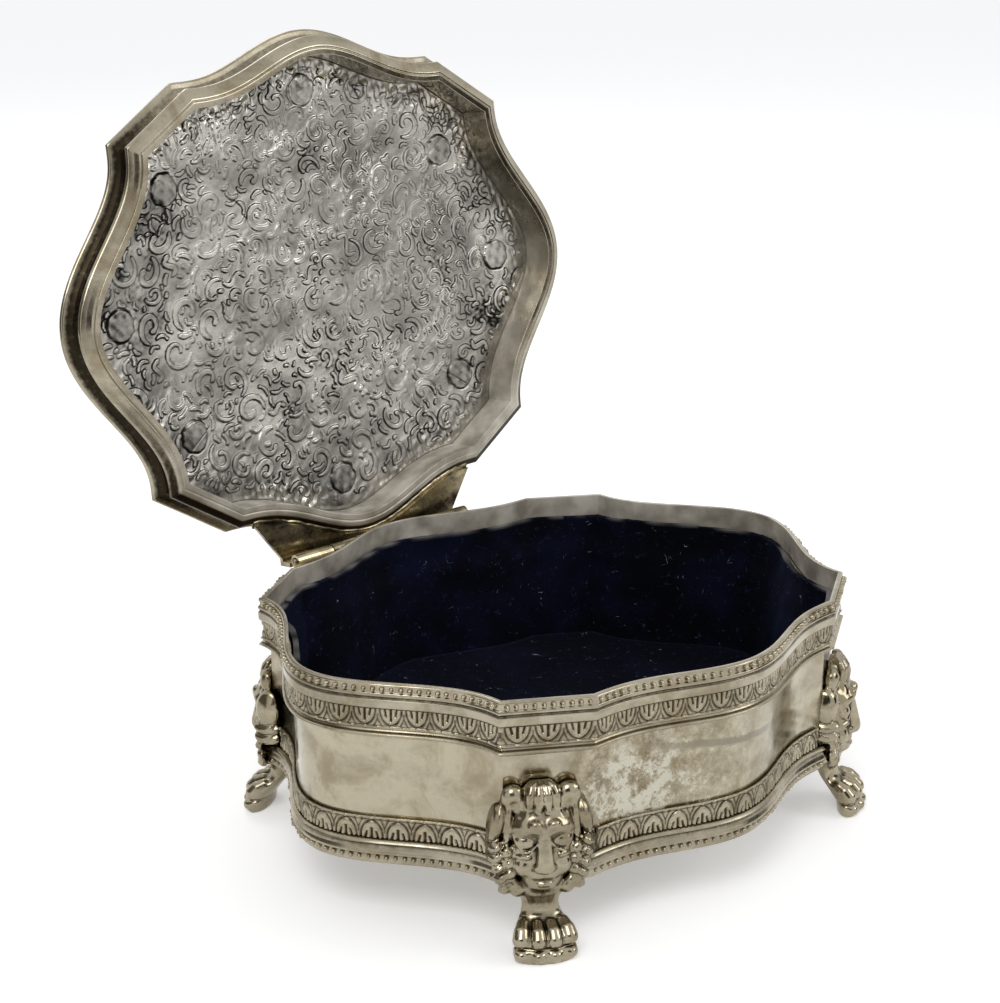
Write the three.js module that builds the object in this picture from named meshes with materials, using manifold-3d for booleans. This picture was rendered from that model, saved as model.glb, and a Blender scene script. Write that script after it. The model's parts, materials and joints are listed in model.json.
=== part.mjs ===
// Footed trinket box: a serpentine metal box on four lion-mask paw feet, lined with velvet,
// with a hinged lid that stands open. Millimetres, +Z up, hinge along X at the back (+Y).
// The origin is the middle of the base plate's underside.
import * as THREE from 'three';
import { mergeVertices } from 'three/addons/utils/BufferGeometryUtils.js';
import Module from 'manifold-3d';

const wasm = await Module();
wasm.setup();

// Plan of the rim's inner edge: canted corners, and walls that swell to a lobe in the middle
const rimLength = 135.2;
const rimDepth = 110.4;
const sideLobe = 17.2;
const frontLobe = 8.8;
const cantWidth = 15;
const cantDepth = 9.6;
const sideWaist = 1.1;
const frontWaist = 1.3;
const sideSteps = 12;
const frontSteps = 12;

// Clearances: between pieces soldered or glued together, round the feet and lid parts, in the hinge
const seam = 0.2;
const seat = 0.3;
const runGap = 0.3;

// Heights of the box's bands, from the floor up
const standHeight = 15.8;
const baseThickness = 1.2;
const baseDrop = 2.4;
const baseMouldingHeight = 5.3;
const lowerGalleryHeight = 4.7;
const plainWallHeight = 17.7;
const upperGalleryHeight = 6.3;
const rimHeight = 5.1;

// How far each band stands out from, or back from, the rim's inner edge
const wallInset = 0.6;
const wallThickness = 1;
const neckOut = 0.4;
const rimFace = 1;
const rimStripOut = 1.5;
const galleryThickness = 0.6;
const galleryFillet = 1.6;
const galleryFoot = 1;
const lowerGalleryOut = 0.5;
const baseMouldingOut = 0.9;
const skirtOut = 0;

// Beaded wires along the rim and along the base
const rimBeadRadius = 0.65;
const rimBeadDrop = 1.1;
const baseBeadRadius = 0.55;
const baseBeadRise = 1.4;
const beadSides = 6;

// Lion-mask feet: heights from the floor, reaches out from the rim's inner edge, half widths
const soleThickness = 2.2;
const pawHeight = 6.6;
const ankleHeight = 9;
const chinHeight = 14.6;
const noseHeight = 20.6;
const browHeight = 27.4;
const crownHeight = 36.2;
const pawBack = 3.1;
const pawFront = 9.3;
const ankleFront = 2.9;
const chinFront = 4.6;
const noseFront = 7.5;
const browFront = 4.8;
const crownFront = 1.4;
const pawHalf = 6.6;
const ankleHalf = 3.6;
const chinHalf = 4.4;
const cheekHalf = 5.4;
const browHalf = 6;
const crownHalf = 3.6;
const maneHalf = 10.4;
const earHalf = 2.4;
const earTall = 2.8;
const browTall = 1.7;
const muzzleHalf = 3.9;
const muzzleTall = 2.7;
const noseHalf = 1.9;
const noseReach = 3;
const forelockHalf = 3.1;
const forelockTall = 3.6;
const forelockReach = 2.4;
const maneLocks = 3;
const lockHalf = 2.4;
const lockOverlap = 0.6;
const lockOut = 1.4;
const lockReach = 2.6;
const toes = 4;
const toeHalf = 1.9;
const toeReach = 2;
const toeTall = 2.3;
const toeSetBack = 1.4;
const toeStagger = 0.5;
const legSides = 10;
const lumpSides = 8;
const lumpRings = 5;
const footShift = 1.4;
const sideStripToFoot = 3.6;
const frontStripToFoot = 1.6;

// Hinge
const hingeDrop = 4.1;
const barrelRadius = 1.6;
const boreRadius = 1;
const pinRadius = 0.7;
const hingeHalf = 26;
const leafRootIn = 0.8;
const leafThickness = 1;
const flangeThickness = 1;
const knuckles = 5;
const barrelSides = 16;
const pinSides = 12;
const openAngle = THREE.MathUtils.degToRad(97.5);

// Lid
const lidGap = 0.3;
const lidRimIn = 1.9;
const lidRimOut = 0.3;
const lidRidge = 2.5;
const lidCove = 1.5;
const lidLip = 4;
const lidRidgeFoot = 1.1;
const lidRidgeHeight = 1.8;
const lidCoveFoot = 3.2;
const lidCoveHead = 4.8;
const lidLipFoot = 6.1;
const lidLipHeight = 7.2;
const lidDepth = 8.1;
const lidFlange = 4;
const lidFlangeThickness = 0.9;
const panelThickness = 1;
const panelCrown = 1;
const panelRise = 3;
const padRadius = 3.5;
const padHeight = 0.5;
const padSides = 12;
const padFromSide = 12.2;
const padFromFront = 9.5;
const padFromCornerX = 10.4;
const padFromCornerY = 9.1;

// Velvet lining
const velvetThickness = 1;
const velvetBelowRim = 4.4;
const velvetBend = 1;
const floorPadHeight = 2.2;
const floorPadCrown = 0.5;
const floorPadRound = 2.4;
const rightJoinFromBack = 26;

// Corners of the plan: where the side walls and the front and back walls meet the cants
const cornerSideX = rimLength / 2 - sideLobe;
const cornerFrontY = rimDepth / 2 - frontLobe;
const cornerSideY = cornerFrontY - cantDepth;
const cornerFrontX = cornerSideX - cantWidth;

// Levels, from the base plate's underside
const floorZ = -standHeight;
const baseBottomZ = -baseDrop;
const ledgeZ = baseBottomZ + baseMouldingHeight;
const lowerGalleryTopZ = ledgeZ + lowerGalleryHeight;
const neckZ = lowerGalleryTopZ + plainWallHeight;
const rimFootZ = neckZ + upperGalleryHeight;
const rimTopZ = rimFootZ + rimHeight;
const lidZ = rimTopZ + lidGap;
const wallOut = -wallInset;
const wallIn = wallOut - wallThickness;
const neckIn = neckOut - wallThickness;
const galleryOut = neckOut + seam + galleryThickness;
const rimBeadOut = rimFace + seam / 2 + rimBeadRadius;
const baseBeadOut = skirtOut + seam + baseBeadRadius;
const rimBeadZ = rimTopZ - rimBeadDrop;
const baseBeadZ = baseBottomZ + baseBeadRise;
const hingeY = rimDepth / 2 + rimStripOut + runGap + barrelRadius;
const hingeZ = rimTopZ - hingeDrop;

// Finishes
function finish(color, roughness, metalness) {
  return new THREE.MeshStandardMaterial({ color, roughness, metalness });
}

const silver = () => finish('#b0aa98', 0.35, 1);
const darkSilver = () => finish('#8d8877', 0.45, 1);
const tarnishedSilver = () => finish('#7f8084', 0.5, 1);
const steel = () => finish('#6e675a', 0.4, 1);
const velvet = () => finish('#0b0e22', 0.95, 0);

// The plan outline, counter-clockwise from the front right corner

// Height of a wall's lobe, as a share, at a place from -1 to 1 along the wall
function swell(across, waist) {
  return ((1 + Math.cos(Math.PI * across)) / 2) ** waist;
}

function outlinePoints() {
  const half = [];
  for (let i = 0; i <= sideSteps; i++) {
    const across = (2 * i) / sideSteps - 1;
    half.push(new THREE.Vector2(cornerSideX + sideLobe * swell(across, sideWaist), cornerSideY * across));
  }
  for (let i = 0; i <= frontSteps; i++) {
    const across = 1 - (2 * i) / frontSteps;
    half.push(new THREE.Vector2(cornerFrontX * across, cornerFrontY + frontLobe * swell(across, frontWaist)));
  }
  return [...half, ...half.map((point) => point.clone().negate())];
}

function edgeNormal(from, to) {
  return new THREE.Vector2(to.y - from.y, from.x - to.x).normalize();
}

// Each point carries the mitred way out, so that a push of d moves every edge out by d
function mitredLoop(points) {
  const count = points.length;
  const loop = points.map((point, i) => {
    const before = edgeNormal(points[(i + count - 1) % count], point);
    const after = edgeNormal(point, points[(i + 1) % count]);
    const miter = before.clone().add(after).divideScalar(1 + before.dot(after));
    return { point, miter };
  });
  let length = 0;
  loop.forEach((station, i) => {
    station.at = length;
    length += station.point.distanceTo(points[(i + 1) % count]);
  });
  loop.length_mm = length;
  return loop;
}

const loop = mitredLoop(outlinePoints());
const corner = {
  rightFront: loop[0].at,
  rightBack: loop[sideSteps].at,
  backRight: loop[sideSteps + 1].at,
  backLeft: loop[sideSteps + frontSteps + 1].at,
};
const halfLoop = loop.length_mm / 2;
const cantLength = corner.backRight - corner.rightBack;

// The stretch of the loop from one length along it to another, with square-cut ends
function stretch(start, end) {
  const count = loop.length;
  const stations = [];
  const endStation = (along) => {
    const wrapped = (along + loop.length_mm) % loop.length_mm;
    const i = loop.findLastIndex((station) => station.at <= wrapped);
    const from = loop[i];
    const to = loop[(i + 1) % count].point;
    const share = (wrapped - from.at) / from.point.distanceTo(to);
    return { point: from.point.clone().lerp(to, share), miter: edgeNormal(from.point, to) };
  };
  stations.push(endStation(start));
  for (let turn = 0; turn < 2; turn++) {
    for (const station of loop) {
      const along = station.at + turn * loop.length_mm;
      if (along > start + seam && along < end - seam) stations.push(station);
    }
  }
  stations.push(endStation(end));
  return stations;
}

const push = (station, out) => station.point.clone().addScaledVector(station.miter, out);

function indexedGeometry(positions, triangles) {
  const geometry = new THREE.BufferGeometry();
  geometry.setAttribute('position', new THREE.Float32BufferAttribute(positions, 3));
  geometry.setIndex(triangles);
  geometry.computeVertexNormals();
  return geometry;
}

// A moulding: the section, a closed list of [out, z], carried along the stations
function moulding(stations, section, closed) {
  const flat = section.map(([out, z]) => new THREE.Vector2(out, z));
  const ordered = THREE.ShapeUtils.isClockWise(flat) ? flat.reverse() : flat;
  const sides = ordered.length;
  const positions = [];
  const triangles = [];
  for (const station of stations) {
    for (const { x: out, y: z } of ordered) positions.push(...push(station, out), z);
  }
  const spans = closed ? stations.length : stations.length - 1;
  for (let i = 0; i < spans; i++) {
    const here = i * sides;
    const next = ((i + 1) % stations.length) * sides;
    for (let j = 0; j < sides; j++) {
      const k = (j + 1) % sides;
      triangles.push(here + j, next + j, next + k, here + j, next + k, here + k);
    }
  }
  if (!closed) {
    const last = (stations.length - 1) * sides;
    for (const [a, b, c] of THREE.ShapeUtils.triangulateShape(ordered, [])) {
      triangles.push(a, b, c, last + a, last + c, last + b);
    }
  }
  return indexedGeometry(positions, triangles);
}

// A plate: rings of the outline stacked from its lower face to its upper face
function plate(rings) {
  const count = loop.length;
  const positions = [];
  const triangles = [];
  for (const { out, z } of rings) {
    for (const station of loop) positions.push(...push(station, out), z);
  }
  for (let r = 0; r < rings.length - 1; r++) {
    for (let i = 0; i < count; i++) {
      const a = r * count + i;
      const b = r * count + ((i + 1) % count);
      triangles.push(a, b, b + count, a, b + count, a + count);
    }
  }
  const face = (ring) => THREE.ShapeUtils.triangulateShape(
    loop.map((station) => push(station, ring.out)), []);
  const top = (rings.length - 1) * count;
  for (const [a, b, c] of face(rings[0])) triangles.push(a, c, b);
  for (const [a, b, c] of face(rings[rings.length - 1])) triangles.push(top + a, top + b, top + c);
  return indexedGeometry(positions, triangles);
}

// Joining and cutting

function solid(geometry) {
  const bare = geometry.clone();
  bare.deleteAttribute('normal');
  bare.deleteAttribute('uv');
  const welded = mergeVertices(bare, 1e-4);
  return new wasm.Manifold(new wasm.Mesh({
    numProp: 3,
    vertProperties: new Float32Array(welded.attributes.position.array),
    triVerts: new Uint32Array(welded.index.array),
  }));
}

function joined(geometries) {
  return geometries.map(solid).reduce((whole, next) => whole.add(next));
}

function geometryOf(body) {
  const { vertProperties, triVerts } = body.getMesh();
  return indexedGeometry(vertProperties, Array.from(triVerts));
}

function block(x0, x1, y0, y1, z0, z1) {
  const box = new THREE.BoxGeometry(x1 - x0, y1 - y0, z1 - z0);
  return box.translate((x0 + x1) / 2, (y0 + y1) / 2, (z0 + z1) / 2);
}

function ball(x, y, z, halfX, halfY, halfZ) {
  const round = new THREE.SphereGeometry(1, lumpSides, lumpRings);
  return round.scale(halfX, halfY, halfZ).translate(x, y, z);
}

const box = new THREE.Group();
const lid = new THREE.Group();
const lidParts = new THREE.Group();
lid.position.set(0, hingeY, hingeZ);
lid.rotation.x = -openAngle;
lidParts.position.set(0, -hingeY, -hingeZ);
lid.add(lidParts);
box.add(lid);

function add(group, name, geometry, material) {
  const mesh = new THREE.Mesh(geometry, material);
  mesh.name = name;
  group.add(mesh);
}

// Box walls and base

function baseAndWalls() {
  add(box, 'base_plate', plate([{ out: wallOut, z: 0 }, { out: wallOut, z: baseThickness }]), darkSilver());

  const wallFootZ = baseThickness + seam;
  const wallTopZ = rimFootZ - seam;
  add(box, 'body_wall', moulding(loop, [
    [wallOut, wallFootZ], [wallOut, neckZ - seam], [neckOut, neckZ + seam], [neckOut, wallTopZ],
    [neckIn, wallTopZ], [neckIn, neckZ + 2 * seam], [wallIn, neckZ], [wallIn, wallFootZ],
  ], true), silver());

  const skirtIn = wallOut + seam;
  const stepZ = baseBeadZ + baseBeadRadius + 2 * seam;
  const waistZ = (stepZ + ledgeZ) / 2;
  add(box, 'base_moulding', moulding(loop, [
    [skirtIn, baseBottomZ], [skirtOut, baseBottomZ], [skirtOut, stepZ], [baseMouldingOut, stepZ],
    [baseMouldingOut, stepZ + seam], [lowerGalleryOut, waistZ], [lowerGalleryOut + seam, ledgeZ],
    [skirtIn, ledgeZ],
  ], true), silver());
}

// Rim with its bead, and the beaded wire along the base

function beadSection(out, z, radius) {
  return Array.from({ length: beadSides }, (_, i) => {
    const turn = (2 * Math.PI * (i + 0.5)) / beadSides;
    return [out + radius * Math.cos(turn), z + radius * Math.sin(turn)];
  });
}

function rimAndBeads() {
  const shoulderZ = rimBeadZ - rimBeadRadius - seam;
  add(box, 'rim_frame', moulding(loop, [
    [0, rimTopZ], [rimFace, rimTopZ], [rimFace, shoulderZ], [rimStripOut, shoulderZ - seam],
    [rimStripOut, rimFootZ], [0, rimFootZ],
  ], true), silver());
  const rimBead = beadSection(rimBeadOut, rimBeadZ, rimBeadRadius);
  const baseBead = beadSection(baseBeadOut, baseBeadZ, baseBeadRadius);
  add(box, 'rim_bead_wire', moulding(loop, rimBead, true), silver());
  add(box, 'base_bead_wire', moulding(loop, baseBead, true), silver());
}

// Gallery strips: one round the neck, and one along the foot of each wall between the feet

function galleries() {
  const upperIn = neckOut + seam;
  const upperFootZ = neckZ + 2 * seam;
  const upperTopZ = rimFootZ - seam;
  add(box, 'upper_gallery_strip', moulding(loop, [
    [upperIn, upperFootZ], [galleryFillet, upperFootZ], [galleryFillet, upperFootZ + galleryFoot],
    [galleryOut, upperFootZ + galleryFoot + seam], [galleryOut, upperTopZ], [upperIn, upperTopZ],
  ], true), darkSilver());

  const lowerIn = wallOut + seam;
  const lowerFootZ = ledgeZ + seam;
  const lowerFace = lowerIn + galleryThickness;
  const section = [
    [lowerIn, lowerFootZ], [lowerGalleryOut, lowerFootZ], [lowerGalleryOut, lowerFootZ + galleryFoot],
    [lowerFace, lowerFootZ + galleryFoot + seam], [lowerFace, lowerGalleryTopZ], [lowerIn, lowerGalleryTopZ],
  ];
  const walls = {
    right: [corner.rightFront, corner.rightBack, sideStripToFoot],
    back: [corner.backRight, corner.backLeft, frontStripToFoot],
    left: [corner.rightFront + halfLoop, corner.rightBack + halfLoop, sideStripToFoot],
    front: [corner.backRight + halfLoop, corner.backLeft + halfLoop, frontStripToFoot],
  };
  for (const [side, [start, end, inset]] of Object.entries(walls)) {
    const run = stretch(start + inset, end - inset);
    add(box, `lower_gallery_${side}`, moulding(run, section, false), darkSilver());
  }
}

// One foot, standing on the floor with its back to y = 0 and its face towards +Y

function legSection({ z, back, front, half }) {
  return Array.from({ length: legSides }, (_, i) => {
    const turn = (2 * Math.PI * i) / legSides;
    const middle = (back + front) / 2;
    return [half * Math.cos(turn), middle + ((front - back) / 2) * Math.sin(turn), z];
  });
}

function legGeometry(sections) {
  const rings = sections.map(legSection);
  const triangles = [];
  for (let r = 0; r < rings.length - 1; r++) {
    for (let i = 0; i < legSides; i++) {
      const a = r * legSides + i;
      const b = r * legSides + ((i + 1) % legSides);
      triangles.push(a, b, b + legSides, a, b + legSides, a + legSides);
    }
  }
  const top = (rings.length - 1) * legSides;
  for (let i = 1; i < legSides - 1; i++) {
    triangles.push(0, i + 1, i, top, top + i, top + i + 1);
  }
  return indexedGeometry(rings.flat(2), triangles);
}

// Locks of the mane down both cheeks, the ears, brows and toes: one side at a time
function footSide(side) {
  const earZ = crownHeight - earTall;
  const parts = [
    ball(side * (browHalf - earHalf / 2), crownFront, earZ, earHalf, earHalf, earTall),
    ball(side * (browHalf / 2), browFront - noseHalf / 2, browHeight, browHalf / 2, noseHalf, browTall),
  ];
  const lockRise = (browHeight - chinHeight) / maneLocks;
  const lockTall = lockRise / 2 + lockOverlap;
  for (let lock = 0; lock < maneLocks; lock++) {
    const z = chinHeight + lockRise * (lock + 0.5);
    parts.push(ball(side * (maneHalf - lockHalf), lockOut, z, lockHalf, lockReach, lockTall));
  }
  const toeStep = (2 * pawHalf) / toes;
  for (let place = 0.5; place < toes / 2; place++) {
    const out = pawFront - toeSetBack - toeStagger * place;
    parts.push(ball(side * toeStep * place, out, soleThickness + toeTall / 2, toeHalf, toeReach, toeTall));
  }
  return parts;
}

function footShape() {
  const backAt = (z) => pawBack - ((pawBack + wallThickness) * z) / (standHeight - baseDrop);
  const maskBack = wallOut - wallThickness / 2;
  const midPaw = (soleThickness + pawHeight) / 2;
  const midHead = (browHeight + crownHeight) / 2;
  const leg = legGeometry([
    { z: 0, back: pawBack, front: pawFront, half: pawHalf },
    { z: soleThickness, back: pawBack, front: pawFront, half: pawHalf },
    { z: midPaw, back: backAt(midPaw), front: pawFront - seat, half: pawHalf - seat },
    { z: pawHeight, back: backAt(pawHeight), front: (ankleFront + pawFront) / 2, half: ankleHalf + 2 * seat },
    { z: ankleHeight, back: backAt(ankleHeight), front: ankleFront, half: ankleHalf },
    { z: chinHeight, back: skirtOut + seam, front: chinFront, half: chinHalf },
    { z: noseHeight, back: maskBack, front: (chinFront + noseFront) / 2, half: cheekHalf },
    { z: browHeight, back: maskBack, front: browFront, half: browHalf },
    { z: midHead, back: maskBack, front: (browFront + crownFront) / 2, half: browHalf },
    { z: crownHeight, back: maskBack, front: crownFront, half: crownHalf },
  ]);
  const maneFront = lockOut + lockReach / 2;
  const mane = legGeometry([
    { z: chinHeight, back: skirtOut + seam, front: maneFront, half: maneHalf - lockHalf / 2 },
    { z: noseHeight, back: maskBack, front: maneFront, half: maneHalf - lockHalf / 2 },
    { z: browHeight, back: maskBack, front: maneFront, half: maneHalf - lockHalf / 2 },
    { z: midHead, back: maskBack, front: maneFront, half: browHalf },
  ]);
  const muzzleZ = (chinHeight + noseHeight + noseHalf) / 2;
  const muzzleReach = noseHalf + seat;
  const noseTall = (browHeight - noseHeight) / 2 + seat;
  return joined([
    leg,
    mane,
    ball(0, noseFront - muzzleReach - seat, muzzleZ, muzzleHalf, muzzleReach, muzzleTall),
    ball(0, noseFront - noseReach, (noseHeight + browHeight) / 2, noseHalf, noseReach, noseTall),
    ball(0, crownFront, midHead, forelockHalf, forelockReach, forelockTall),
    ...footSide(-1),
    ...footSide(1),
  ]);
}

function feet() {
  const baseOut = Math.max(baseMouldingOut, baseBeadOut + baseBeadRadius) + seat;
  const body = solid(plate([
    { out: baseOut, z: baseBottomZ - seat },
    { out: baseOut, z: ledgeZ + seat },
    { out: wallOut + seat, z: ledgeZ + 2 * seat },
    { out: wallOut + seat, z: neckZ },
  ]));
  const shape = footShape();
  const sideEnd = new THREE.Vector2(cornerSideX, cornerSideY);
  const frontEnd = new THREE.Vector2(cornerFrontX, cornerFrontY);
  const towardsSide = sideEnd.clone().sub(frontEnd).setLength(footShift);
  const middle = sideEnd.clone().add(frontEnd).divideScalar(2).add(towardsSide);
  const cant = edgeNormal(sideEnd, frontEnd);
  const places = { front_left: [-1, -1], front_right: [1, -1], back_left: [-1, 1], back_right: [1, 1] };
  for (const [name, [sideX, sideY]] of Object.entries(places)) {
    const facing = Math.atan2(sideY * cant.y, sideX * cant.x) - Math.PI / 2;
    const standing = geometryOf(shape).rotateZ(facing).translate(sideX * middle.x, sideY * middle.y, floorZ);
    add(box, `foot_${name}`, geometryOf(solid(standing).subtract(body)), silver());
  }
}

// Hinge: two leaves that fill the hollows beside the back lobe, their knuckles and the pin

function leafPlate(lowZ, highZ, clearOut) {
  const leafRootHalf = cornerFrontX - leafRootIn;
  const outline = new THREE.Shape([
    new THREE.Vector2(-leafRootHalf, cornerFrontY), new THREE.Vector2(leafRootHalf, cornerFrontY),
    new THREE.Vector2(hingeHalf, hingeY), new THREE.Vector2(-hingeHalf, hingeY),
  ]);
  const slab = new THREE.ExtrudeGeometry(outline, { depth: highZ - lowZ, bevelEnabled: false });
  const hole = plate([
    { out: clearOut, z: lowZ - leafThickness },
    { out: clearOut, z: highZ + leafThickness },
  ]);
  return solid(slab.translate(0, 0, lowZ)).subtract(solid(hole));
}

function rod(radius, x0, x1, sides) {
  const round = new THREE.CylinderGeometry(radius, radius, x1 - x0, sides);
  return round.rotateZ(Math.PI / 2).translate((x0 + x1) / 2, hingeY, hingeZ);
}

function hinge() {
  const pitch = (2 * hingeHalf) / knuckles;
  const boxKnuckles = [];
  const lidKnuckles = [];
  const lidStraps = [];
  const flangeIn = hingeY + barrelRadius - flangeThickness;
  const flangeOut = hingeY + barrelRadius;
  const flangeFootZ = hingeZ + barrelRadius + runGap + seat;
  const lidLeafZ = lidZ + seat;
  for (let i = 0; i < knuckles; i++) {
    const x0 = -hingeHalf + i * pitch + runGap / 2;
    const x1 = x0 + pitch - runGap;
    const ring = rod(barrelRadius, x0, x1, barrelSides);
    if (i % 2 === 0) {
      boxKnuckles.push(ring);
    } else {
      lidKnuckles.push(ring);
      lidStraps.push(block(x0, x1, flangeIn, flangeOut, hingeZ, flangeFootZ + seat));
    }
  }
  const bore = solid(rod(boreRadius, -hingeHalf - barrelRadius, hingeHalf + barrelRadius, barrelSides));

  // The box leaf's web is cut away where the lid's knuckles turn
  const gaps = lidKnuckles.map((_, i) => {
    const x0 = -hingeHalf + (2 * i + 1) * pitch - runGap / 2;
    const reach = barrelRadius + runGap;
    return block(x0, x0 + pitch + runGap, hingeY - reach, hingeY + reach, hingeZ - reach, hingeZ + reach);
  });
  const web = leafPlate(hingeZ - leafThickness / 2, hingeZ + leafThickness / 2, rimStripOut + seat);
  const boxLeaf = web.subtract(joined(gaps)).add(joined(boxKnuckles)).subtract(bore);
  add(box, 'hinge_box_leaf', geometryOf(boxLeaf), steel());

  const lidPlate = leafPlate(lidLeafZ, lidLeafZ + leafThickness, lidRidge + seat);
  const edge = block(-hingeHalf, hingeHalf, hingeY - seat, flangeOut, lidLeafZ, lidLeafZ + leafThickness);
  const flange = block(-hingeHalf, hingeHalf, flangeIn, flangeOut, flangeFootZ, lidLeafZ + leafThickness);
  const lidLeaf = lidPlate.add(joined([edge, flange, ...lidStraps, ...lidKnuckles])).subtract(bore);
  add(lidParts, 'hinge_lid_leaf', geometryOf(lidLeaf), steel());

  add(box, 'hinge_pin', rod(pinRadius, -hingeHalf, hingeHalf, pinSides), steel());
}

// Lid: a moulded frame, and an embossed panel set under its flange

function lidFrame() {
  const flangeZ = lidZ + lidDepth + panelThickness + seat;
  const flangeTopZ = flangeZ + lidFlangeThickness;
  const ridgeZ = lidZ + lidRidgeHeight;
  const lipZ = lidZ + lidLipHeight;
  const lipFootZ = lidZ + lidLipFoot;
  add(lidParts, 'lid_frame', moulding(loop, [
    [-lidRimIn, lidZ], [lidRimOut, lidZ], [lidRidge - seam, lidZ + lidRidgeFoot], [lidRidge, ridgeZ],
    [lidCove, lidZ + lidCoveFoot], [lidCove, lidZ + lidCoveHead],
    [(lidCove + lidLip) / 2, lipFootZ - seam], [lidLip, lipFootZ],
    [lidLip, lipZ - seam], [lidLip - seat, lipZ], [-lidRimIn, flangeTopZ - seam],
    [-lidRimIn - lidFlange, flangeTopZ], [-lidRimIn - lidFlange, flangeZ], [-lidRimIn, flangeZ],
  ], true), silver());
}

function lidPanel() {
  const edgeOut = -lidRimIn - seat;
  const flangeInside = -lidRimIn - lidFlange - seat;
  const shoulderOut = flangeInside - panelRise;
  const lowZ = lidZ + lidDepth;
  const sheet = plate([
    { out: shoulderOut, z: lowZ + panelCrown },
    { out: flangeInside, z: lowZ },
    { out: edgeOut, z: lowZ },
    { out: edgeOut, z: lowZ + panelThickness },
    { out: flangeInside, z: lowZ + panelThickness },
    { out: shoulderOut, z: lowZ + panelThickness + panelCrown },
  ]);
  const padPlaces = [];
  const padSideX = rimLength / 2 - padFromSide;
  const padFrontY = rimDepth / 2 - padFromFront;
  const padCornerX = cornerSideX - padFromCornerX;
  const padCornerY = cornerSideY - padFromCornerY;
  for (const side of [-1, 1]) {
    padPlaces.push([side * padSideX, 0], [0, side * padFrontY]);
    for (const end of [-1, 1]) padPlaces.push([side * padCornerX, end * padCornerY]);
  }
  const padTall = padHeight + panelThickness / 2;
  const pads = padPlaces.map(([x, y]) => {
    const disc = new THREE.CylinderGeometry(padRadius, padRadius, padTall, padSides).rotateX(Math.PI / 2);
    return disc.translate(x, y, lowZ + panelCrown - padHeight + padTall / 2);
  });
  add(lidParts, 'lid_panel', geometryOf(joined([sheet, ...pads])), tarnishedSilver());
}

// Velvet lining: wall strips joined at the four canted corners and once on the right wall, and a floor pad

function lining() {
  const outer = wallIn - seat;
  const upperOuter = neckIn - seat;
  const footZ = baseThickness + seat;
  const topZ = rimTopZ - velvetBelowRim;
  const section = [
    [outer, footZ], [outer, neckZ - seat], [upperOuter, neckZ + velvetBend], [upperOuter, topZ],
    [upperOuter - velvetThickness, topZ], [upperOuter - velvetThickness, neckZ + velvetBend],
    [outer - velvetThickness, neckZ - seat], [outer - velvetThickness, footZ],
  ];
  const backRightJoin = corner.rightBack + cantLength / 2;
  const backLeftJoin = corner.backLeft + cantLength / 2;
  const rightJoin = corner.rightBack - rightJoinFromBack;
  const strips = {
    back: [backRightJoin, backLeftJoin],
    left: [backLeftJoin, backRightJoin + halfLoop],
    front: [backRightJoin + halfLoop, backLeftJoin + halfLoop],
    right_front: [backLeftJoin + halfLoop, rightJoin + loop.length_mm],
    right_back: [rightJoin, backRightJoin],
  };
  for (const [side, [start, end]] of Object.entries(strips)) {
    const run = stretch(start + seat / 2, end - seat / 2);
    add(box, `lining_${side}`, moulding(run, section, false), velvet());
  }

  const padOut = outer - velvetThickness - seat;
  const padTopZ = footZ + floorPadHeight;
  add(box, 'lining_floor_pad', plate([
    { out: padOut, z: footZ },
    { out: padOut, z: padTopZ - floorPadCrown },
    { out: padOut - floorPadRound, z: padTopZ },
  ]), velvet());
}

baseAndWalls();
rimAndBeads();
galleries();
feet();
hinge();
lidFrame();
lidPanel();
lining();

export default box;
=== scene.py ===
"""Looks of a footed trinket box: worn silver plate, velvet lining, an embossed lid standing open."""
import functools
import itertools
import json
import math

import bpy
import numpy as np
from mathutils import Matrix, Vector


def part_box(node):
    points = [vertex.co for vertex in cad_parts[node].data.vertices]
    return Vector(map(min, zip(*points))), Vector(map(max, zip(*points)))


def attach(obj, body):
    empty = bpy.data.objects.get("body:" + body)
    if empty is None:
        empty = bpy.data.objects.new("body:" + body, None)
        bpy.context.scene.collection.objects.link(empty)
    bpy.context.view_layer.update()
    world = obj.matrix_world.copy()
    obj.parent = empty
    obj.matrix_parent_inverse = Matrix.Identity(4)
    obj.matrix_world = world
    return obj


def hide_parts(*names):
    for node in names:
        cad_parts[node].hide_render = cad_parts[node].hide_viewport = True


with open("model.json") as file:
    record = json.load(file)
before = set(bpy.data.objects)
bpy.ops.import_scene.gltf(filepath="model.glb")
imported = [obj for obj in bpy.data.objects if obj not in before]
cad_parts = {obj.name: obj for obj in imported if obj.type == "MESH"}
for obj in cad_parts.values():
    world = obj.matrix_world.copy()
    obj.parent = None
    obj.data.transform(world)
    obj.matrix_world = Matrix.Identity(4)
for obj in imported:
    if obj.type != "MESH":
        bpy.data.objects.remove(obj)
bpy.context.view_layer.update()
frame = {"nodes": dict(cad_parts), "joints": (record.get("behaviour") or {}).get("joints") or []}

# Plan of the rim's inner edge, in millimetres: canted corners and walls that swell to a lobe
MM = 0.001
RIM_LENGTH, RIM_DEPTH = 135.2, 110.4
SIDE_LOBE, FRONT_LOBE = 17.2, 8.8
SIDE_WAIST, FRONT_WAIST = 1.1, 1.3
CANT_WIDTH, CANT_DEPTH = 15.0, 9.6
SIDE_X = RIM_LENGTH / 2 - SIDE_LOBE
FRONT_Y = RIM_DEPTH / 2 - FRONT_LOBE
SIDE_Y = FRONT_Y - CANT_DEPTH
FRONT_X = SIDE_X - CANT_WIDTH


# Heights, read from the frame
def level(node, end):
    """The lowest (0) or highest (1) level of a node, in millimetres."""
    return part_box(node)[end].z / MM


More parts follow.
